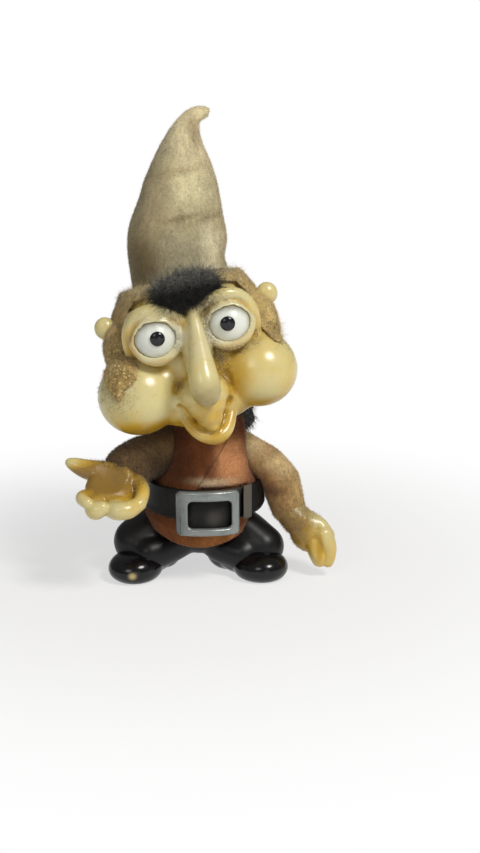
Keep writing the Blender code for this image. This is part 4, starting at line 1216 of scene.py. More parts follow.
@dataclass
class Eyes:
    """The two white eyeballs in the face's sockets, each with a domed black pupil."""

    face: Face
    bright_middle: Point = (4.3, 9.0, 3.7)
    lid_shade: float = 0.3
    shade_height: float = 3.4
    pupil: Pair = (6.65, 18.65)
    pupil_radius: float = 1.4
    pupil_dome: float = 0.6

    def build(self, white: Material, black: Material) -> None:
        """Makes the eyeballs and the pupils."""
        x, y, z = self.face.eye
        radius = self.face.eye_radius
        across, up = self.pupil
        front = y - math.sqrt(radius**2 - (x - across) ** 2 - (z - up) ** 2)
        for side, name in ((1, "left"), (-1, "right")):
            ball = bmesh.new()
            place = Matrix.Translation((side * x, y, z)) @ Matrix.Rotation(math.radians(90), 4, "X")
            bmesh.ops.create_uvsphere(ball, u_segments=64, v_segments=40, radius=radius, matrix=place)
            skin = Skin(mesh_of(ball, name))
            # rim: greyer towards the edge and the top, partly dirt and partly painted shade from the lids.
            gap = (skin.points - np.array((side * x, y, z))) / np.array(self.bright_middle)
            high = np.clip((skin.points[:, 2] - z) / self.shade_height, 0.0, 1.0)
            rim = np.clip(np.hypot(gap[:, 0], gap[:, 2]) ** 3 + self.lid_shade * high**2, 0.0, 1.0)
            paint(skin.mesh, rim=rim)
            add_piece(f"{name}_eyeball", skin.mesh, Place.HEAD, white, [f"{name}_eye"])
            dome = bmesh.new()
            flat = Matrix.Diagonal((self.pupil_radius, self.pupil_dome, self.pupil_radius, 1.0))
            upright = Matrix.Rotation(math.radians(90), 4, "X")
            place = Matrix.Translation((side * across, front, up)) @ flat @ upright
            bmesh.ops.create_uvsphere(dome, u_segments=40, v_segments=24, radius=1.0, matrix=place)
            mesh = mesh_of(dome, name)
            paint(mesh, chip=0.0)
            add_piece(f"{name}_pupil_bead", mesh, Place.HEAD, black, [f"{name}_pupil"])


@dataclass
class Hat:
    """The tall flocked hat with a bent tip, soft dents and a fuzzy rim."""

    line: tuple[tuple[Point, float], ...] = (
        ((0.4, 0.5, 23.0), 10.1),
        ((0.2, 0.6, 27.0), 9.4),
        ((0.3, 0.9, 30.0), 9.3),
        ((1.1, 1.1, 33.2), 9.9),
        ((2.6, 1.4, 38.4), 8.9),
        ((4.4, 1.6, 44.0), 7.3),
        ((5.5, 1.4, 48.6), 5.5),
        ((6.4, 1.0, 51.8), 3.8),
        ((7.9, 0.6, 54.7), 2.4),
        ((9.6, 0.3, 56.3), 1.6),
        ((11.6, 0.1, 56.2), 1.35),
        ((12.3, 0.0, 55.9), 0.9),
    )
    dents: tuple[tuple[Point, float, float], ...] = (
        ((2.0, -8.4, 32.5), 5.5, 0.7),
        ((-7.5, -5.5, 34.0), 6.0, -0.4),
        ((2.6, -7.6, 38.6), 3.8, 0.5),
        ((8.0, -5.6, 37.2), 3.8, 0.5),
        ((5.0, -6.2, 43.0), 5.5, -0.45),
        ((5.5, -5.2, 47.0), 3.4, 0.4),
        ((9.6, -2.4, 33.0), 4.5, -0.5),
        ((3.0, 10.2, 36.0), 6.0, 0.7),
        ((-5.5, 8.6, 31.0), 6.0, -0.4),
        ((7.5, 8.2, 41.0), 5.0, -0.4),
        ((0.5, 7.6, 44.5), 5.0, 0.5),
        ((-4.0, 1.0, 42.0), 5.0, 0.4),
    )
    folds: tuple[Groove, ...] = (
        (((-3.0, -7.4, 38.6), (1.0, -8.0, 38.9), (5.0, -7.6, 38.4), (9.0, -5.6, 37.4)), 0.9, 0.3),
        (((7.4, -2.8, 53.8), (8.6, -3.0, 52.6), (9.6, -2.4, 51.2)), 1.0, 0.4),
        (((7.2, -2.0, 56.0), (7.0, -3.4, 53.6), (7.4, -4.4, 51.0)), 1.0, -0.3),
        (((9.4, -4.6, 34.6), (8.6, -5.6, 32.0), (8.6, -6.0, 29.0)), 1.2, 0.35),
    )
    rim: float = 25.9
    rim_top: float = 32.0
    rim_slope: float = -13.5
    wall: float = 1.1
    nap_depth: float = 0.2
    fibres: Fibres = Fibres(42000, 0.42, 0.035, comb=(0.0, 0.0, -0.5), spread=0.45, seed=11)

    def dye(self, points: Array) -> Array:
        """The flock's colour: greyer low down, with painted light at the top and on the left, and painted
        shade on the right, at the back and in the folds.
        """
        return dyed(
            points,
            tone(186, 172, 132),
            [
                Stain((8.0, -2.0, 53.0), (8.0, 12.0, 8.0), 0.8, tone(236, 222, 180)),
                Stain((6.0, -8.0, 42.5), (6.0, 9.0, 5.0), 0.85, tone(224, 214, 172)),
                Stain((-3.0, -4.0, 42.0), (4.0, 7.0, 8.0), 0.6, tone(184, 166, 128)),
                Stain((2.0, -9.0, 35.6), (5.0, 9.0, 2.6), 0.6, tone(170, 158, 122)),
                Stain((3.0, -8.0, 38.2), (4.6, 9.0, 0.6), 0.6, tone(112, 92, 60)),
                Stain((8.6, -8.0, 37.0), (3.6, 9.0, 0.7), 0.55, tone(112, 92, 60)),
                Stain((4.4, -6.0, 46.6), (6.0, 9.0, 0.7), 0.4, tone(150, 126, 84)),
                Stain((8.6, -3.0, 53.0), (1.2, 6.0, 3.4), 0.6, tone(132, 108, 70)),
                Stain((1.6, -9.0, 32.0), (5.0, 9.0, 4.2), 0.75, tone(190, 180, 148)),
                Stain((3.4, -9.0, 28.4), (5.0, 6.0, 2.4), 0.6, tone(190, 180, 144)),
                Stain((-6.6, -6.0, 31.5), (3.6, 8.0, 7.0), 0.8, tone(122, 102, 66)),
                Stain((7.8, -8.0, 31.0), (3.0, 5.0, 5.0), 0.8, tone(250, 240, 204)),
                Stain((0.0, 10.0, 34.0), (12.0, 7.0, 12.0), 0.6, tone(150, 132, 96)),
            ],
        )

    def build(self, finish: Material) -> None:
        """Shapes the hat and grows its flock."""
        below = slab((0.0, 0.0, self.rim), self.rim_slope, above=False)
        tube = boolean(swept("hat", self.line, rings=10, sides=96), below)
        shape = bmesh.new()
        shape.from_mesh(tube)
        bmesh.ops.remove_doubles(shape, verts=shape.verts, dist=1e-3)
        slope = Matrix.Rotation(math.radians(self.rim_slope), 3, "X") @ Vector((0.0, 0.0, 1.0))
        flat = [face for face in shape.faces if face.normal.dot(slope) < -0.9]
        under = [face for face in flat if face.calc_center_median().z < self.rim_top]
        bmesh.ops.delete(shape, geom=under, context="FACES")
        skin = Skin(mesh_of(shape, "hat"))
        skin.dent(self.dents)
        for line, radius, depth in self.folds:
            skin.press(rounded(line), radius, depth)
        skin.points -= skin.normals() * self.nap_depth
        outer = skin.write()
        flock = self.fibres.grow("hat_flock", outer, self.dye)
        body = with_modifiers(outer.copy(), ("SOLIDIFY", {"thickness": self.wall, "offset": -1.0}))
        paint(body, dye=self.dye(Skin(body).points), tip=0.0, shade=0.35)
        add_piece("hat_shell", body, Place.HEAD, finish, ["hat"])
        add_piece("hat_nap", flock, Place.HEAD, finish)


@dataclass
class Hair:
    """Flocked hair round the back and sides of the head, with a flap beside each cheek."""

    opening: tuple[Pair, ...] = (
        (-24.0, -12.0), (-24.0, 18.0), (-19.6, 15.4), (-18.6, 13.2), (-17.9, 10.6), (-17.2, 8.4),
        (-16.5, 8.0), (-15.3, 10.1), (-13.4, 10.9), (-12.2, 12.0), (-11.8, 13.2), (-12.2, 15.4),
        (-13.1, 18.0), (-12.5, 20.6), (-11.3, 23.4), (-9.9, 24.9), (-7.4, 25.7), (0.0, 25.2),
        (7.6, 25.7), (10.9, 24.6), (12.4, 22.4), (12.9, 20.2), (13.0, 18.0), (13.2, 16.5), (13.9, 15.0),
        (14.9, 13.5), (15.8, 12.5), (16.6, 12.2), (17.2, 12.9), (17.6, 14.4), (18.6, 17.4),
        (24.0, 20.0), (24.0, -12.0),
    )
    lower: tuple[Pair, ...] = (
        (-30.0, 7.6), (-12.0, 7.8), (-6.0, 9.4), (-1.0, 8.8), (3.0, 6.4), (7.0, 3.4), (26.0, 2.4),
        (26.0, -20.0), (-30.0, -20.0),
    )
    front: float = -1.0
    rim: float = 25.7
    seam: float = 25.4
    crown: float = 2.2
    crown_shift: Pair = (0.6, -0.5)
    flap: float = 0.7
    side: Lump = ((12.8, -4.4, 13.6), (4.6, 5.6, 7.0))
    side_grows: float = 0.4
    hollow: float = 0.6
    thinned: float = 0.6
    fibres: Fibres = Fibres(38000, 0.55, 0.038, comb=(0.0, 0.0, -0.35), spread=0.6, seed=21)
    fringe: Fibres = Fibres(
        11500, 0.8, 0.026, comb=(0.0, -0.2, 0.1), spread=0.8, sections=2, curl=0.5, seed=22
    )

    def dye(self, points: Array) -> Array:
        """The flock's colour: tan, paler near the hat, golden on the flaps and at the edge, with painted
        shade at the back and in the gap beside the right brow.
        """
        colour = dyed(
            points,
            tone(180, 152, 98),
            [
                Stain((0.0, 0.0, 27.0), (20.0, 22.0, 5.0), 0.8, tone(196, 180, 136)),
                Stain((15.0, -6.0, 17.0), (4.0, 7.0, 6.0), 0.8, tone(208, 182, 120)),
                Stain((-15.5, -10.0, 11.5), (5.0, 8.0, 4.5), 0.9, tone(178, 146, 84)),
                Stain((-15.5, -6.0, 17.0), (3.0, 8.0, 5.0), 0.7, tone(196, 168, 112)),
                Stain((-12.8, -8.0, 19.5), (1.0, 6.0, 4.0), 0.7, tone(120, 94, 54)),
                Stain((-9.0, -10.0, 26.0), (5.0, 6.0, 1.6), 0.7, tone(206, 194, 156)),
                Stain((0.0, 14.0, 12.0), (16.0, 8.0, 12.0), 0.8, tone(110, 100, 80)),
                Stain((0.0, 12.0, 23.2), (16.0, 10.0, 3.0), 0.85, tone(132, 114, 80)),
            ],
        )
        edge = (0.5 * self.by_edge(points, 0.6))[:, None]
        return colour * (1.0 - edge) + np.array(tone(220, 196, 136)) * edge

    def from_edge(self, points: Array) -> Array:
        """Each point's distance to the edge round the face, as seen from the front."""
        edge = np.array(self.opening[1:-1])
        flat = points[:, [0, 2]]
        return np.min([to_segment(flat, start, end) for start, end in zip(edge, edge[1:])], axis=0)

    def by_edge(self, points: Array, width: float) -> Array:
        """How near each point is to that edge: 1 on it, and less and less over a width."""
        return np.exp(-((self.from_edge(points) / width) ** 2)) * (points[:, 1] < self.front)

    def fringe_places(self, points: Array, normals: Array) -> Array:
        """Longer, frayed fibres stand along the hat's rim and round the edge of the face."""
        seam = self.seam - RIM_FALL * points[:, 1]
        rim = np.exp(-(((points[:, 2] - seam) / 1.1) ** 2))
        edge = self.by_edge(points, 0.7)
        frayed = [Stain((-10.0, -9.0, 26.0), (4.0, 7.0, 1.8)), Stain((15.8, -8.0, 13.2), (2.4, 6.0, 2.2))]
        corner = strength_of(points, frayed)
        return np.clip(rim * 0.6 + edge + corner, 0.0, 1.0) * (normals[:, 1] < 0.6)

    @staticmethod
    def fringe_length(points: Array) -> Array:
        """The fringe is longest beside the hat on the right and at the left flap's tip."""
        long = [
            Stain((-10.0, -9.0, 26.4), (5.0, 7.0, 2.4), 0.8),
            Stain((15.8, -8.0, 13.0), (2.6, 6.0, 2.4), 0.5),
        ]
        return 1.0 + strength_of(points, long)

    @staticmethod
    def flecks(points: Array) -> Array:
        """How far the flock has worn to bright dots: on the flaps, most of all the right one."""
        return strength_of(
            points,
            [
                Stain((-15.4, -12.0, 11.4), (4.6, 8.0, 4.6)),
                Stain((-16.0, -8.0, 16.0), (2.6, 7.0, 3.6), 0.5),
                Stain((15.6, -8.0, 15.0), (2.4, 7.0, 5.6), 0.6),
            ],
        )

    def build(self, finish: Material, face: Face) -> None:
        """Shapes the hair and grows its flock."""
        (x, y, z), radii = face.skull
        back, up = self.crown_shift
        clay = Clay()
        clay.ball((x, y + back, z + up), radii, grow=self.crown)
        clay.ball(*face.right_cheek, grow=self.flap)
        clay.ball(*face.left_cheek, grow=self.flap)
        clay.pair(*self.side, grow=self.side_grows)
        clay.ball(*face.middle, grow=self.flap)
        clay.ball(*face.forehead, grow=self.flap)
        mesh = clay.skin("hair", voxel=0.45, smoothing=6)
        mesh = boolean(mesh, slab((0.0, 0.0, self.rim), Hat.rim_slope, above=True))
        mesh = boolean(mesh, prism(self.opening, "Y", low=-40.0, high=self.front))
        mesh = boolean(mesh, prism(self.lower, "X", low=-30.0, high=30.0))
        hollow = Clay().ball(*face.skull, grow=-self.hollow)
        mesh = boolean(mesh, mesh_of(hollow.shape, "hollow"))
        skin = Skin(mesh)
        skin.smooth(2)
        thin = self.thinned * self.by_edge(skin.points, 1.5)
        skin.points -= away_from((0.0, -4.0, 13.0), skin.points) * thin[:, None]
        skin.swell(size=3.0, amount=0.14, seed=7)
        mesh = skin.write()
        paint(mesh, dye=self.dye(skin.points), tip=0.0, shade=0.3, fleck=self.flecks(skin.points))

        def outside(points: Array, normals: Array) -> Array:
            """Fibres grow where the hair faces away from the head."""
            return ((away_from((0.0, -2.0, 14.0), points) * normals).sum(1) > 0.15) * 1.0

        flock = self.fibres.grow("hair_flock", mesh, self.dye, outside)
        fringe = self.fringe.grow("hair_fringe", mesh, self.dye, self.fringe_places, self.fringe_length)
        for coat in (flock, fringe):
            paint(coat, fleck=self.flecks(Skin(coat).points))
        add_piece("hair_shell", mesh, Place.HEAD, finish, ["hair"])
        add_piece("hair_fringe", fringe, Place.HEAD, finish)
        add_piece("hair_nap", flock, Place.HEAD, finish)


@dataclass
class DarkFur:
    """The black forelock under the hat's rim and the dark fur behind the neck, as loose strands."""

    tuft: tuple[Lump, ...] = (
        ((0.6, -12.2, 26.1), (6.2, 2.6, 2.3)),
        ((-2.4, -13.9, 24.8), (3.1, 1.7, 1.5)),
        ((3.4, -13.7, 24.8), (3.4, 1.7, 1.6)),
        ((0.6, -14.2, 24.3), (2.8, 1.6, 1.4)),
    )
    mane: tuple[Lump, ...] = (
        ((0.0, 12.0, 3.6), (10.0, 2.2, 5.0)),
        ((0.0, 12.1, -2.8), (11.4, 2.0, 5.6)),
        ((0.0, 12.0, 0.6), (10.9, 2.0, 3.6)),
        ((0.0, 11.9, -7.4), (10.0, 1.6, 3.6)),
    )
    forelock: Fibres = Fibres(
        6400, 1.6, 0.045, comb=(0.0, -0.2, 0.25), spread=0.85, bend=(0.0, 0.0, -0.2), sections=3,
        curl=0.9, seed=31,
    )
    nape: Fibres = Fibres(
        9000, 1.3, 0.04, comb=(0.0, 0.1, -1.1), spread=0.35, bend=(0.0, -0.1, -0.3), sections=3,
        curl=0.3, seed=41,
    )
    fade_starts: float = 25.9
    fade_length: float = 2.4

    def build(self, finish: Material) -> None:
        """Makes both tufts, each a soft core with strands on it."""
        core = Skin(Clay().balls(self.tuft).skin("forelock", voxel=0.35, smoothing=6)).write()

        def front(points: Array, normals: Array) -> Array:
            """Strands grow where the tuft is open to view."""
            return (normals[:, 1] < 0.35) * 1.0

        strands = self.forelock.grow("forelock_strands", core, keep=front)
        height = Skin(strands).points[:, 2]
        # The forelock's top is painted paler: a painted sheen where the light falls.
        paint(strands, fade=np.clip((height - self.fade_starts) / self.fade_length, 0.0, 1.0))
        paint(core, tip=0.0, shade=0.2, fade=0.0)
        add_piece("forelock_core", core, Place.HEAD, finish, ["forelock"])
        add_piece("forelock_strands", strands, Place.HEAD, finish)
        core = Skin(Clay().balls(self.mane).skin("nape", voxel=0.5, smoothing=6)).write()
        strands = self.nape.grow("nape_strands", core)
        # The nape's strands are painted paler all over, partly faded colour and partly painted sheen.
        paint(strands, fade=0.6)
        paint(core, tip=0.0, shade=0.2, fade=0.2)
        add_piece("nape_core", core, Place.HEAD, finish, ["nape_fur"])
        add_piece("nape_strands", strands, Place.HEAD, finish)


# Neck.


@dataclass
class NeckSpring:
    """The coil spring, in two halves that meet at the pivot."""

    radius: float = 2.9
    wire: float = 0.6
    turns: int = 5
    half: float = 3.0
    per_turn: int = 28

    def line(self) -> list[Point]:
        """The wire's middle line, from the spine, in millimetres."""
        lean = math.radians(-HEAD_LEAN)
        start = NECK - Vector((0.0, 0.0, self.half))
        end = NECK + self.half * Vector((-math.sin(lean), 0.0, math.cos(lean)))
        count = self.turns * self.per_turn
        points = []
        for step in range(count + 1):
            share = step / count
            centre = (1 - share) ** 2 * start + 2 * share * (1 - share) * NECK + share**2 * end
            along = (2 * (1 - share) * (NECK - start) + 2 * share * (end - NECK)).normalized()
            across = Vector((0.0, 1.0, 0.0))
            angle = math.tau * step / self.per_turn
            place = centre + self.radius * (math.cos(angle) * across + math.sin(angle) * along.cross(across))
            points.append(tuple(place))
        return points

    def build(self, finish: Material) -> None:
        """Makes both halves."""
        points = self.line()
        middle = len(points) // 2
        pivot = (SPINE + NECK) * MM
        for name, part, bodies, start, end in (
            ("neck_spring_lower", points[: middle + 1], ("body", "neck_spring"), -self.half, 0.0),
            ("neck_spring_upper", points[middle:], ("neck_spring", "head_plug"), 0.0, self.half),
        ):
            curve = bpy.data.curves.new(name, "CURVE")
            curve.dimensions = "3D"
            curve.bevel_depth = self.wire / 2
            curve.bevel_resolution = 3
            curve.use_fill_caps = True
            spline = curve.splines.new("POLY")
            spline.points.add(len(part) - 1)
            for vertex, place in zip(spline.points, part):
                vertex.co = (*place, 1.0)
            piece = shown(name, finished(object_of(name, curve)), Place.BODY, finish)
            low, high = (pivot + Vector((0.0, 0.0, height * MM)) for height in (start, end))
            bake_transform(piece)
            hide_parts("neck_spring")


# Body.


@dataclass
class Tunic:
    """The flocked tunic and the panel over its chest."""

    sections: tuple[tuple[float, float, float, float, float], ...] = (
        (7.4, -0.8, -2.7, 10.4, 9.6), (10.5, -0.6, -2.9, 10.8, 9.6), (14.5, 0.5, -2.8, 10.9, 9.2),
        (18.9, 0.5, -2.2, 10.3, 8.7), (23.0, 0.4, -1.2, 9.3, 7.8), (27.5, 0.5, -0.3, 7.9, 6.5),
        (30.3, 0.8, 0.0, 6.1, 5.4), (32.0, 0.9, 0.0, 5.1, 4.9),
    )
    wall: float = 1.2
    hem_rise: float = 3.2
    hem_fades: float = 14.5
    belt: Pair = (13.0, 18.9)
    creases: tuple[Groove, ...] = (
        (((1.0, -10.6, 21.0), (-1.6, -9.0, 25.5), (-3.0, -7.0, 30.0)), 1.8, 0.35),
        (((-9.0, -5.0, 21.0), (-7.0, -6.4, 24.0), (-3.5, -8.0, 25.0)), 1.6, 0.4),
        (((9.4, -4.0, 8.6), (10.0, -4.2, 12.4)), 1.8, 0.3),
    )
    panel: tuple[Pair, ...] = (
        (-1.5, 18.0), (9.4, 18.0), (8.8, 24.0), (8.2, 31.2), (7.0, 31.2), (4.7, 27.0),
    )
    panel_top: float = 31.6
    panel_gap: float = 0.3
    panel_thick: float = 0.8
    fibres: Fibres = Fibres(30000, 0.42, 0.034, comb=(0.0, 0.0, -0.5), spread=0.5, seed=51)
    panel_fibres: Fibres = Fibres(9000, 0.42, 0.034, comb=(0.0, 0.0, -0.5), spread=0.5, seed=52)

    def section(self, height: float) -> list[float]:
        """Middle, half width and half depth at a height, between the sections."""
        for low, high in zip(self.sections, self.sections[1:]):
            if height <= high[0]:
                share = (height - low[0]) / (high[0] - low[0])
                return [a + (b - a) * share for a, b in zip(low[1:], high[1:])]
        return list(self.sections[-1][1:])

    def loft(self, name: str, heights: Iterable[float], grow: float = 0.0, sides: int = 120) -> Mesh:
        """An open loft through the tunic at these heights, grown outwards."""
        shape = bmesh.new()
        rings = []
        for height in heights:
            aside, middle, wide, deep = self.section(height)
            size = Matrix.Diagonal((wide + grow, deep + grow, 1.0, 1.0))
            place = Matrix.Translation((aside, middle, height)) @ size
            made = bmesh.ops.create_circle(shape, cap_ends=False, segments=sides, radius=1.0, matrix=place)
            verts = set(made["verts"])
            rise = self.hem_rise * max(0.0, self.hem_fades - height) / (self.hem_fades - self.sections[0][0])
            for vertex in verts:
                vertex.co.z += rise * (vertex.co.x / wide) ** 2
            rings.append(list({edge for vertex in verts for edge in vertex.link_edges}))
        for low, high in zip(rings, rings[1:]):
            bmesh.ops.bridge_loops(shape, edges=low + high)
        return mesh_of(shape, name)

    def dye(self, points: Array) -> Array:
        """Rust brown, lighter under the belt, with painted light on the panel and painted shade on the right
        side, in the fold line, under the chin and at the back.
        """
        return dyed(
            points,
            tone(136, 80, 42),
            [
                Stain((6.0, -9.0, 24.5), (3.6, 6.0, 6.0), 0.85, tone(226, 166, 114)),
                Stain((-6.0, -7.0, 25.0), (5.0, 7.0, 7.0), 0.8, tone(92, 52, 30)),
                Stain((1.6, -9.0, 24.5), (1.6, 6.0, 6.0), 0.6, tone(104, 58, 32)),
                Stain((-9.0, -5.0, 12.0), (4.0, 6.0, 4.0), 0.6, tone(120, 68, 36)),
                Stain((4.0, -12.0, 9.0), (7.0, 5.0, 2.2), 0.7, tone(190, 124, 66)),
                Stain((2.2, -10.0, 20.3), (4.6, 4.0, 0.8), 0.85, tone(212, 190, 154)),
                Stain((0.5, -4.0, 31.0), (6.0, 6.0, 2.5), 0.7, tone(110, 60, 32)),
                Stain((0.0, 8.0, 20.0), (12.0, 6.0, 12.0), 0.6, tone(122, 74, 42)),
            ],
        )

    def build(self, finish: Material) -> None:
        """Makes the tunic and its panel."""
        skin = Skin(self.loft("tunic", even_steps(self.sections[0][0], self.sections[-1][0], 60)))
        skin.swell(size=5.0, amount=0.2, seed=13, low=7.0, high=33.0)
        for crease in self.creases:
            skin.press(*crease)
        outer = skin.write()
        flock = self.fibres.grow("tunic_flock", outer, self.dye)
        shell = with_modifiers(outer.copy(), ("SOLIDIFY", {"thickness": self.wall, "offset": -1.0}))
        paint(shell, dye=self.dye(Skin(shell).points), tip=0.0, shade=0.35)
        add_piece("tunic_shell", shell, Place.BODY, finish, ["tunic"])
        add_piece("tunic_nap", flock, Place.BODY, finish)
        self.build_panel(finish)

    def build_panel(self, finish: Material) -> None:
        """The panel that folds over the chest, with a soft thick edge."""
        heights = even_steps(self.belt[1] + self.panel_gap, self.panel_top, 40)
        mesh = self.loft("panel", heights, grow=self.panel_gap, sides=160)
        mesh = with_modifiers(mesh, ("SOLIDIFY", {"thickness": self.panel_thick, "offset": 1.0}))
        mesh = boolean(mesh, prism(self.panel, "Y", low=-24.0, high=0.5), "INTERSECT")
        skin = Skin(mesh)
        skin.smooth(3)
        mesh = skin.write()
        paint(mesh, dye=self.dye(skin.points), tip=0.0, shade=0.35)

        def outside(points: Array, normals: Array) -> Array:
            """Fibres grow on the panel's outer face and edges."""
            away = points * np.array((1.0, 1.0, 0.0))
            away /= np.linalg.norm(away, axis=1)[:, None]
            return ((away * normals).sum(1) > -0.2) * 1.0

        flock = self.panel_fibres.grow("panel_flock", mesh, self.dye, outside)
        add_piece("front_panel", mesh, Place.BODY, finish, ["tunic_front_panel"])
        add_piece("front_panel_nap", flock, Place.BODY, finish)


@dataclass
class Belt:
    """The broad black belt, the pad behind its buckle, the keeper loop and the buckle frame."""

    tunic: Tunic
    thick: float = 0.9
    wide: float = 12.3
    tall: float = 8.7
    frame_thick: float = 1.5
    window: Pair = (8.5, 5.3)
    window_shift: Pair = (0.35, -0.25)
    centre: Point = (1.4, -14.3, 15.2)
    bend: float = 11.8
    bend_steps: int = 40
    corner_round: float = 0.9
    edge_round: float = 0.5
    slope: float = -6.0
    turn: float = 4.5

    def band(self, name: str, low: float, high: float, grow: float, thick: float) -> Mesh:
        """A ring round the tunic with softened edges."""
        mesh = self.tunic.loft(name, even_steps(low, high, 12), grow=grow, sides=140)
        rounding = {"width": 0.22, "segments": 3, "limit_method": "ANGLE", "angle_limit": math.radians(50)}
        return with_modifiers(mesh, ("SOLIDIFY", {"thickness": thick, "offset": 1.0}), ("BEVEL", rounding))

    def strap(self, name: str, low: float, high: float, thick: float, left: float, right: float) -> Mesh:
        """A short curved plate over the belt's front, between two heights and two ends."""
        mesh = self.band(name, low, high, grow=0.6 + self.thick, thick=thick)
        outline = ((left, 4.0), (right, 4.0), (right, 24.0), (left, 24.0))
        return boolean(mesh, prism(outline, "Y", low=-22.0, high=-3.0), "INTERSECT")

    def buckle(self) -> Mesh:
        """The rectangular frame with rounded bars, bent to the belly."""
        shape = bmesh.new()
        loops = []
        for (wide, tall), (x, z) in (
            ((self.wide, self.tall), (0.0, 0.0)),
            (self.window, self.window_shift),
        ):
            corners = ((-0.5, -0.5), (0.5, -0.5), (0.5, 0.5), (-0.5, 0.5))
            points = [shape.verts.new((x + a * wide, 0.0, z + b * tall)) for a, b in corners]
            loops += [shape.edges.new(pair) for pair in zip(points, points[1:] + points[:1])]
        bmesh.ops.bridge_loops(shape, edges=loops)
        pull(shape, shape.faces, (0.0, -self.frame_thick, 0.0))
        bmesh.ops.recalc_face_normals(shape, faces=shape.faces)
        corners = [edge for edge in shape.edges if abs(edge.verts[0].co.y - edge.verts[1].co.y) > 0.5]
        round_off(shape, corners, self.corner_round, 5)
        sharp = [edge for edge in shape.edges if edge.calc_face_angle(0.0) > math.radians(50)]
        round_off(shape, sharp, self.edge_round, 4)
        for step in range(1, self.bend_steps):
            place = (-self.wide / 2 + step * self.wide / self.bend_steps, 0.0, 0.0)
            geometry = list(shape.verts) + list(shape.edges) + list(shape.faces)
            bmesh.ops.bisect_plane(shape, geom=geometry, dist=1e-4, plane_co=place, plane_no=(1.0, 0.0, 0.0))
        for vertex in shape.verts:
            vertex.co.y += vertex.co.x**2 / (2 * self.bend)
        angles = Euler((math.radians(self.slope), 0.0, math.radians(self.turn)))
        bmesh.ops.transform(
            shape, matrix=Matrix.Translation(self.centre) @ angles.to_matrix().to_4x4(), verts=shape.verts
        )
        return mesh_of(shape, "buckle")

    def build(self, black: Material, grey: Material) -> None:
        """Makes the belt, its pad, the keeper and the buckle."""
        low, high = self.tunic.belt
        belt = self.band("belt", low, high, grow=0.3, thick=self.thick)
        points = Skin(belt).points
        paint(belt, chip=strength_of(points, [Stain((5.0, -11.5, 18.8), (5.0, 3.0, 1.0), 0.35)]))
        add_piece("belt_band", belt, Place.BODY, black, ["belt"])
        pad = self.strap("pad", 11.4, high - 0.6, thick=0.5, left=-3.6, right=7.2)
        points = Skin(pad).points
        paint(pad, chip=strength_of(points, [Stain((2.6, -13.0, 13.8), (1.6, 3.0, 1.6), 0.45)]))
        add_piece("buckle_backing", pad, Place.BODY, black, ["buckle_pad"])
        keeper = self.strap("keeper", low - 0.4, high + 0.4, thick=0.7, left=8.3, right=9.9)
        paint(keeper, chip=0.95)
        add_piece("belt_loop", keeper, Place.BODY, black, ["belt_keeper"])
        buckle = self.buckle()
        points = Skin(buckle).points
        # The left bar is painted darker: dirt, and painted shade where it turns away from the light.
        paint(buckle, chip=strength_of(points, [Stain((-4.2, -12.0, 14.4), (1.7, 6.0, 5.0), 0.85)]))
        add_piece("buckle_frame", buckle, Place.BODY, grey, ["buckle"])


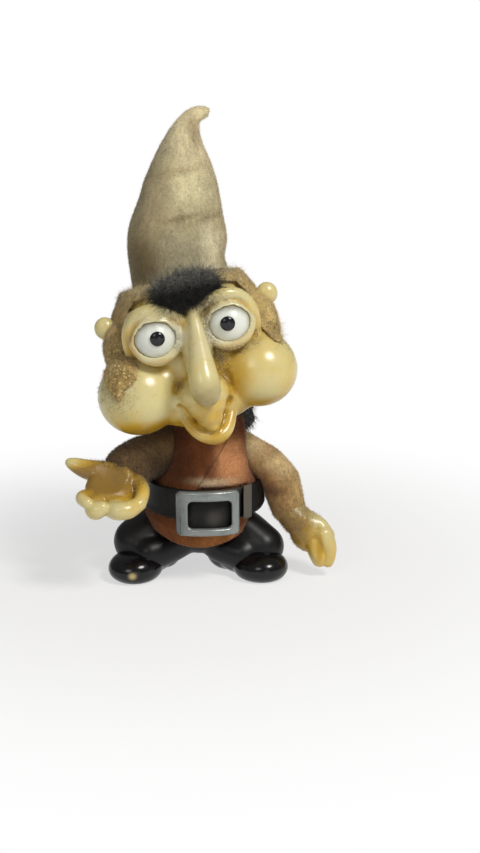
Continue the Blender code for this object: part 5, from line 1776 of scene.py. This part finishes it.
@dataclass
class Legs:
    """The black trousers and the two glossy shoes."""

    right: tuple[Pair, Pair] = ((-8.0, -0.6), (-13.7, -9.8))
    left: tuple[Pair, Pair] = ((4.8, -1.4), (12.3, -9.0))
    shoe_lumps: tuple[tuple[float, float, Point], ...] = (
        (0.05, 2.6, (4.6, 4.0, 3.3)),
        (0.45, 3.2, (6.2, 4.6, 3.6)),
        (0.9, 2.4, (5.8, 5.3, 3.4)),
        (0.45, 5.6, (4.4, 4.2, 2.2)),
    )
    seat: tuple[Lump, ...] = (
        ((0.2, -2.4, 10.5), (8.9, 7.2, 5.0)),
        ((-0.6, -4.6, 7.6), (5.6, 4.8, 3.5)),
    )
    legs: tuple[tuple[Knot, ...], ...] = (
        ((-5.0, -2.4, 9.8, 4.6), (-9.8, -3.6, 8.0, 4.8), (-13.0, -5.2, 6.2, 4.7)),
        ((-2.4, -4.6, 7.9, 3.4), (-6.4, -6.6, 5.8, 3.4), (-10.4, -8.2, 5.0, 3.4)),
        ((4.8, -2.4, 9.8, 4.4), (8.8, -3.8, 7.4, 4.6), (11.8, -5.2, 5.2, 4.5)),
        ((1.8, -4.6, 7.6, 3.4), (4.2, -5.6, 5.4, 3.6), (8.0, -7.2, 4.4, 3.6)),
    )

    def shoe(self, heel: Pair, toe: Pair) -> Clay:
        """A stubby shoe: heel, instep, bulging toe cap and a soft ankle roll."""
        start, end = Vector((*heel, 0.0)), Vector((*toe, 0.0))
        angle = math.degrees(math.atan2(end.y - start.y, end.x - start.x))
        clay = Clay()
        for share, height, radii in self.shoe_lumps:
            place = start + (end - start) * share
            clay.ball((place.x, place.y, height), radii, (0, 0, angle))
        return clay

    def build(self, gloss: Material, worn_black: Material) -> None:
        """Makes the shoes and the trousers."""
        for name, (heel, toe), chips in (
            ("right_shoe", self.right, [Stain((-13.4, -14.8, 2.2), (0.75, 2.0, 0.7))]),
            ("left_shoe", self.left, [Stain((17.4, -11.0, 2.2), (0.5, 1.5, 0.45))]),
        ):
            mesh = self.shoe(heel, toe).skin(name, voxel=0.3, smoothing=10)
            mesh = boolean(mesh, slab((0.0, 0.0, 0.0), slope=0.0, above=False))
            skin = Skin(mesh)
            lift = skin.points[:, 2] > 0.4
            skin.points += (skin.normals() * (soft_waves(skin.points / 4.0, 9) * 0.12 * lift)[:, None])
            mesh = skin.write()
            paint(mesh, chip=strength_of(skin.points, chips))
            add_piece(f"{name}_moulding", mesh, Place.BODY, gloss, [name])
        clay = Clay().balls(self.seat)
        for leg in self.legs:
            clay.limb(leg)
        skin = Skin(clay.skin("trousers", voxel=0.4, smoothing=8))
        skin.swell(size=4.0, amount=0.2, seed=15)
        mesh = skin.write()
        worn = [
            Stain((-12.0, -8.0, 10.0), (5.0, 4.0, 2.5), 0.3),
            Stain((11.0, -8.0, 8.6), (4.0, 4.0, 2.5), 0.3),
        ]
        paint(mesh, chip=strength_of(skin.points, worn))
        add_piece("trouser_legs", mesh, Place.BODY, worn_black, ["trousers"])


@dataclass
class Arm:
    """One arm: a bare vinyl hand and the flocked sleeve over its wrist."""

    side: str
    sleeve: list[Knot]
    wrist: list[Knot]
    palm: tuple[Point, Point, Point]
    fingers: list[list[Knot]]
    thumb: list[Knot]
    fibres: Fibres
    stains_and_light: list[Stain]
    browned_and_shaded: list[Stain]
    base: Point
    cup: tuple[Point, Point, Point] | None = None
    fade_from: Point = (0.0, 0.0, 0.0)
    fade_to: Point = (0.0, 0.0, 1.0)
    frayed: float = 0.4
    cuff: Point = (0.0, 0.0, 0.0)
    cuff_reach: float = 4.0
    strays: Fibres = Fibres(4200, 0.42, 0.032, spread=0.7, curl=0.4, seed=75)

    def hand(self) -> Mesh:
        """The chubby hand, with a cupped palm where it has one."""
        clay = Clay()
        clay.limb(self.wrist)
        clay.ball(*self.palm)
        for finger in self.fingers:
            clay.limb(finger)
        clay.limb(self.thumb)
        mesh = clay.skin(f"{self.side}_hand", voxel=0.22, smoothing=6)
        if self.cup:
            scoop = Clay().ball(*self.cup)
            mesh = boolean(mesh, mesh_of(scoop.shape, "scoop"))
            skin = Skin(mesh)
            gap = (skin.points - np.array(self.cup[0])) / (np.array(self.cup[1]) + 0.7)
            inside = np.clip(3.0 * (1.25 - np.linalg.norm(gap, axis=1)), 0.0, 1.0)
            skin.smooth(3).smooth(16, inside)
            mesh = skin.write()
        return mesh

    def palm_dirt_and_shade(self, points: Array) -> Array:
        """How much the cupped palm is darkened: partly dirt, partly painted shade in the cup."""
        if not self.cup:
            return np.full(len(points), 0.05)
        (x, y, z), (wide, deep, tall), _ = self.cup
        return strength_of(points, [Stain((x, y + 0.8, z - 2.4), (wide, deep, tall * 0.8), 1.2)])

    def bare(self, points: Array) -> Array:
        """From 0 in the thick of the flock to 1 where bare vinyl shows."""
        start, end = np.array(self.fade_from), np.array(self.fade_to)
        along = end - start
        return np.clip((points - start) @ along / (along @ along), 0.0, 1.0)

    def dye(self, points: Array) -> Array:
        """The flock's colour, fading to the vinyl's at the wrist."""
        share = (self.bare(points) ** 1.5)[:, None]
        return self.flock_dye_and_light(points) * (1 - share) + np.array(tone(190, 160, 92)) * share

    def flock_dye_and_light(self, points: Array) -> Array:
        """The flock's own colour, with painted light and shade laid over it."""
        return dyed(points, self.base, self.stains_and_light)

    def build(self, vinyl: Material, flock: Material) -> None:
        """Makes the hand and the sleeve."""
        skin = Skin(self.hand())
        palm = self.palm_dirt_and_shade(skin.points)
        brown = palm + strength_of(skin.points, self.browned_and_shaded)
        dull = strength_of(skin.points, [Stain(self.cuff, (self.cuff_reach,) * 3, 0.9)])
        dull *= 1.0 - np.clip(1.5 * palm, 0.0, 1.0)
        # hollow: browner in the hollows, with painted shade in the palm, under the thumb and in the creases.
        paint(
            skin.mesh,
            hollow=np.clip(skin.hollows(rounds=24, depth=0.4) + brown, 0.0, 1.0),
            soil=strength_of(skin.points, [Stain(self.wrist[-1][:3], (4.0, 4.0, 4.0), 0.4)]),
            bloom=np.clip(palm * 0.4 + dull, 0.05, 1.0),
        )
        name = f"{self.side}_hand"
        hand = skin.mesh.copy()
        add_piece(f"{name}_moulding", skin.mesh, Place.BODY, vinyl, [name])
        skin = Skin(Clay().limb(self.sleeve).skin(f"{self.side}_sleeve", voxel=0.35, smoothing=8))
        skin.swell(size=3.6, amount=0.2, seed=17)
        mesh = skin.write()
        paint(mesh, dye=self.dye(skin.points), tip=0.0, shade=0.35)

        def keep(points: Array, normals: Array) -> Array:
            """Flock thins out where it has worn off."""
            return 1.0 - 0.9 * self.bare(points)

        def longer(points: Array) -> Array:
            """The flock stands longer at the frayed cuff."""
            gap = np.linalg.norm(points - np.array(self.fade_from), axis=1)
            return 1.0 + self.frayed * np.exp(-((gap / 3.4) ** 2))

        def wrist(points: Array, normals: Array) -> Array:
            """A little flock strays from the cuff on to the wrist."""
            gap = np.linalg.norm(points - np.array(self.cuff), axis=1)
            return np.exp(-((gap / self.cuff_reach) ** 3)) * (0.05 + 0.95 * (self.palm_dirt_and_shade(points) < 0.5))

        stray = self.strays.grow(f"{self.side}_stray", hand, self.flock_dye_and_light, wrist)
        add_piece(f"{self.side}_wrist_flock", stray, Place.BODY, flock)
        nap = self.fibres.grow(f"{self.side}_flock", mesh, self.dye, keep, longer)
        name = f"{self.side}_sleeve"
        add_piece(f"{name}_body", mesh, Place.BODY, flock, [name])
        add_piece(f"{name}_nap", nap, Place.BODY, flock)


def right_arm() -> Arm:
    """The raised arm with its palm held out."""
    return Arm(
        side="right",
        sleeve=[
            (-5.6, -0.2, 25.2, 4.0), (-9.2, -3.8, 24.2, 4.3), (-12.4, -7.8, 23.7, 4.4),
            (-14.2, -10.2, 23.3, 4.5),
        ],
        wrist=[(-14.4, -9.8, 23.4, 3.2), (-15.6, -13.6, 21.8, 3.4)],
        palm=((-17.2, -16.2, 20.4), (4.9, 5.0, 2.6), (32, 8, 0)),
        cup=((-17.5, -18.4, 25.0), (5.7, 5.2, 3.5), (32, 8, 0)),
        fingers=[
            [
                (-20.4, -17.6, 19.8, 1.6), (-21.9, -19.9, 20.3, 1.35), (-22.0, -21.4, 20.3, 1.25),
                (-21.0, -22.3, 19.9, 1.2),
            ],
            [
                (-18.8, -18.4, 18.8, 1.9), (-19.8, -21.0, 18.6, 1.85), (-19.4, -22.5, 18.4, 1.8),
                (-18.2, -22.7, 19.0, 1.4),
            ],
            [
                (-15.4, -18.4, 18.6, 1.9), (-16.3, -21.4, 18.3, 1.7), (-15.2, -22.8, 18.4, 1.75),
                (-13.4, -22.4, 18.5, 1.75), (-12.0, -21.0, 18.8, 1.5),
            ],
            [
                (-12.4, -13.8, 21.0, 2.0), (-11.1, -16.6, 20.8, 1.5), (-10.9, -19.0, 20.2, 1.35),
                (-11.3, -20.8, 19.2, 1.35),
            ],
        ],
        thumb=[
            (-18.2, -13.0, 22.8, 2.4), (-21.8, -13.2, 23.7, 1.95), (-24.0, -13.3, 24.6, 1.45),
            (-25.1, -13.4, 25.1, 0.95),
        ],
        fibres=Fibres(13000, 0.5, 0.036, comb=(-0.4, -0.4, -0.2), spread=0.5, seed=71),
        base=tone(108, 84, 54),
        # Painted shade on the hand: under the thumb, its tip and the wrist.
        browned_and_shaded=[
            Stain((-21.2, -13.2, 22.9), (4.6, 3.2, 2.6), 0.9),
            Stain((-14.0, -15.0, 19.4), (3.6, 4.0, 2.0), 0.4),
            Stain((-23.8, -13.2, 23.6), (3.0, 3.0, 0.9), 0.35),
        ],
        # Painted light on the sleeve's top and painted shade underneath, with a lighter cuff.
        stains_and_light=[
            Stain((-9.0, -7.5, 26.6), (5.0, 4.0, 2.2), 0.7, tone(152, 126, 86)),
            Stain((-8.0, -6.0, 21.0), (6.0, 4.0, 2.5), 0.85, tone(70, 51, 33)),
            Stain((-15.4, -14.4, 22.0), (2.0, 3.0, 2.4), 0.6, tone(150, 122, 76)),
        ],
        fade_from=(-14.8, -13.6, 22.8),
        fade_to=(-15.4, -17.0, 22.0),
        frayed=1.3,
        cuff=(-14.8, -13.4, 23.0),
        cuff_reach=5.2,
    )


def left_arm() -> Arm:
    """The lowered arm, worn to bare vinyl at the wrist."""
    return Arm(
        side="left",
        sleeve=[
            (5.8, 0.2, 25.4, 3.2), (9.8, -0.6, 23.4, 3.5), (14.6, -1.8, 19.6, 3.9),
            (16.1, -2.8, 16.4, 3.7), (16.9, -3.6, 13.4, 3.5),
        ],
        wrist=[(17.2, -3.9, 12.8, 2.9), (19.0, -4.9, 10.8, 3.1)],
        palm=((21.6, -6.2, 8.4), (3.9, 2.5, 4.3), (0, -42, 0)),
        fingers=[
            [(22.6, -7.2, 6.6, 2.2), (23.2, -8.0, 4.6, 1.9), (23.4, -8.2, 3.5, 1.55)],
            [
                (24.2, -7.4, 8.4, 2.0), (25.2, -8.1, 6.4, 1.6), (25.4, -8.4, 4.5, 1.3),
                (25.1, -8.5, 3.1, 1.15),
            ],
        ],
        thumb=[(21.4, -5.6, 11.2, 1.6), (23.4, -6.5, 10.1, 1.6), (25.0, -7.2, 8.2, 1.5)],
        fibres=Fibres(15000, 0.45, 0.036, comb=(0.3, -0.1, -0.5), spread=0.5, seed=72),
        base=tone(168, 133, 86),
        # Painted shade on the hand: on its lower inner side, by the wrist and in the crease between the
        # fingers.
        browned_and_shaded=[
            Stain((19.8, -7.0, 8.0), (2.6, 4.0, 3.6), 0.55),
            Stain((18.0, -6.0, 11.2), (3.2, 4.0, 2.0), 0.45),
            Stain((23.4, -9.0, 6.4), (0.7, 3.0, 2.6), 0.5),
        ],
        # Painted highlights on the sleeve's upper and outer side, reddish in the crook of the elbow, and
        # painted shade along a crease.
        stains_and_light=[
            Stain((9.0, -3.0, 26.2), (4.0, 5.0, 2.6), 0.75, tone(236, 214, 166)),
            Stain((15.6, -4.0, 22.0), (4.0, 5.0, 2.6), 0.7, tone(226, 200, 148)),
            Stain((12.6, -5.0, 18.4), (2.6, 4.0, 3.2), 0.7, tone(142, 94, 54)),
            Stain((19.4, -4.0, 17.0), (2.0, 4.0, 4.4), 0.7, tone(206, 178, 118)),
            Stain((14.6, -6.0, 17.0), (2.4, 3.0, 1.0), 0.7, tone(104, 72, 42)),
        ],
        fade_from=(16.4, -3.4, 14.5),
        fade_to=(18.8, -4.8, 9.0),
        cuff=(18.2, -5.4, 10.6),
        cuff_reach=4.6,
    )


# Studio.


@dataclass
class Studio:
    """A pale floor, soft lights and the camera at the photograph's viewing angle."""

    target: Point = (7.2, 4.4, 28.7)
    distance: float = 300.0
    elevation: float = 15.0
    focal_pixels: float = 1500.0
    tall_pixels: float = 853.0
    surround: float = 0.22
    floor_colour: Point = (0.9, 0.895, 0.885)
    floor_drop: float = 0.02
    floor_fade: Pair = (30.0, 110.0)
    lamps: tuple[tuple[str, Point, float, float, Point], ...] = (
        ("key", (210.0, -230.0, 370.0), 120.0, 1.35, (1.0, 0.98, 0.95)),
        ("side", (-150.0, -330.0, 230.0), 130.0, 0.2, (0.96, 0.98, 1.0)),
        ("low_front", (120.0, -330.0, 60.0), 110.0, 0.03, (1.0, 0.98, 0.95)),
    )

    def aim(self, thing: bpy.types.Object, place: Point) -> None:
        """Puts a lamp or camera at a place in millimetres, turned to the target."""
        thing.location = Vector(place) * MM
        way = Vector(place) - Vector(self.target)
        thing.rotation_euler = way.to_track_quat("Z", "Y").to_euler()

    def lamp(self, name: str, place: Point, size: float, power: float, colour: Point) -> None:
        """A square area lamp, with its size in millimetres and its power in watts."""
        data = bpy.data.lights.new(name, "AREA")
        data.size = size * MM
        data.energy = power
        data.color = colour
        self.aim(object_of(name, data), place)

    def camera(self) -> None:
        """The camera, which looks down at the target by its elevation."""
        data = bpy.data.cameras.new("camera")
        data.sensor_width = 36.0
        data.lens = self.focal_pixels / self.tall_pixels * data.sensor_width
        data.clip_start = 0.01
        data.clip_end = 10.0
        thing = object_of("camera", data)
        angle = math.radians(self.elevation)
        x, y, z = self.target
        place = (x, y - self.distance * math.cos(angle), z + self.distance * math.sin(angle))
        self.aim(thing, place)
        bpy.context.scene.camera = thing

    def floor(self) -> None:
        """A pale floor that fades to white away from the figurine, for the camera and for reflections."""
        shape = bmesh.new()
        bmesh.ops.create_grid(shape, x_segments=8, y_segments=8, size=3.0)
        floor = object_of("floor", mesh_of(shape, "floor"))
        floor.location = (0.0, 0.0, -self.floor_drop * MM)
        desk = Desk("pale_floor")
        desk.set(Base_Color=self.floor_colour, Roughness=0.8, Specular_IOR_Level=0.2)
        places = desk.places()
        length = desk.node("ShaderNodeVectorMath", {"operation": "LENGTH"}, {0: places}, output="Value")
        seen = self.seen(desk)
        glow = desk.node("ShaderNodeEmission", sockets={"Color": (1.0, 1.0, 1.0, 1.0), "Strength": 1.0})
        shader = Wire(desk, desk.shader.outputs[0])
        share = (length.step(*self.floor_fade) * 0.4 + 0.6) * seen
        mixed = desk.node("ShaderNodeMixShader", sockets={0: share, 1: shader, 2: glow})
        desk.plug(desk.tree.nodes["Material Output"].inputs["Surface"], mixed)
        floor.data.materials.append(desk.material)

    @staticmethod
    def seen(desk: Desk) -> Wire:
        """1 for rays from the camera and for reflections, and 0 for light that falls on things."""
        camera, glossy, through = (
            desk.node("ShaderNodeLightPath", output=name)
            for name in ("Is Camera Ray", "Is Glossy Ray", "Is Transmission Ray")
        )
        return (camera + glossy + through).clamped()

    def world(self) -> None:
        """An even pale surround, white to the camera."""
        world = bpy.data.worlds.new("surround")
        world.use_nodes = True
        tree = world.node_tree
        shade = tree.nodes["Background"]
        path = tree.nodes.new("ShaderNodeLightPath")
        mix = tree.nodes.new("ShaderNodeMapRange")
        mix.inputs["To Min"].default_value = self.surround
        mix.inputs["To Max"].default_value = 1.0
        tree.links.new(path.outputs["Is Camera Ray"], mix.inputs["Value"])
        tree.links.new(mix.outputs[0], shade.inputs["Strength"])
        shade.inputs["Color"].default_value = (1.0, 1.0, 1.0, 1.0)
        bpy.context.scene.world = world

    def build(self) -> None:
        """Sets up the whole studio."""
        self.camera()
        self.floor()
        self.world()
        for lamp in self.lamps:
            self.lamp(*lamp)
        bpy.context.scene.view_settings.view_transform = "Standard"


def dress_plugs(finish: Material) -> None:
    """Gives the two hidden plugs their wood."""
    for name in ("head_plug", "body_plug"):
        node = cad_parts[name]
        node.data.materials.clear()
        node.data.materials.append(finish)


def main() -> None:
    """Builds every sub-assembly in order."""
    logging.basicConfig(level=logging.INFO, format="%(name)s %(message)s")
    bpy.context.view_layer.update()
    vinyl = AgedVinyl().make("aged_vinyl")
    hat_flock = Flock(streak=(1.0, 1.0, 0.4), contrast=0.8).make("hat_flock")
    hair_flock = Flock(contrast=1.5, grain=0.5).make("hair_flock")
    cloth = Flock(contrast=0.8).make("tunic_flock")
    sleeve = Flock(contrast=1.1, grain=0.45).make("sleeve_flock")
    fur = Fur().make("dark_fur")
    black = Paint(tone(11, 10, 10), tone(92, 88, 78), gloss=0.5, dust=0.18, shine=0.3).make("belt_black")
    legs = Paint(tone(7, 8, 12), tone(44, 42, 38), gloss=0.36, dust=0.2, shine=0.35).make("trouser_black")
    gloss = Paint(tone(10, 11, 15), tone(200, 180, 128), gloss=0.16, dust=0.03, shine=0.4).make("shoe_gloss")
    # The buckle's darker colour is dirt, and painted shade on its left bar.
    grey = Paint(tone(144, 150, 148), tone(48, 50, 52), gloss=0.27, dust=0.6, metal=0.35).make("buckle_grey")
    pupil = Paint(tone(14, 15, 20), tone(90, 92, 96), gloss=0.14, dust=0.1).make("pupil_black")
    face = Face()
    face.build(vinyl, hair_flock)
    Eyes(face).build(EyePaint().make("eye_white"), pupil)
    Hat().build(hat_flock)
    Hair().build(hair_flock, face)
    DarkFur().build(fur)
    NeckSpring().build(SpringWire().make("spring_wire"))
    dress_plugs(TurnedWood().make("plug_wood"))
    tunic = Tunic()
    tunic.build(cloth)
    Belt(tunic).build(black, grey)
    Legs().build(gloss, legs)
    for arm in (right_arm(), left_arm()):
        arm.build(vinyl, sleeve)
    Studio().build()


if __name__ == "__main__":
    main()
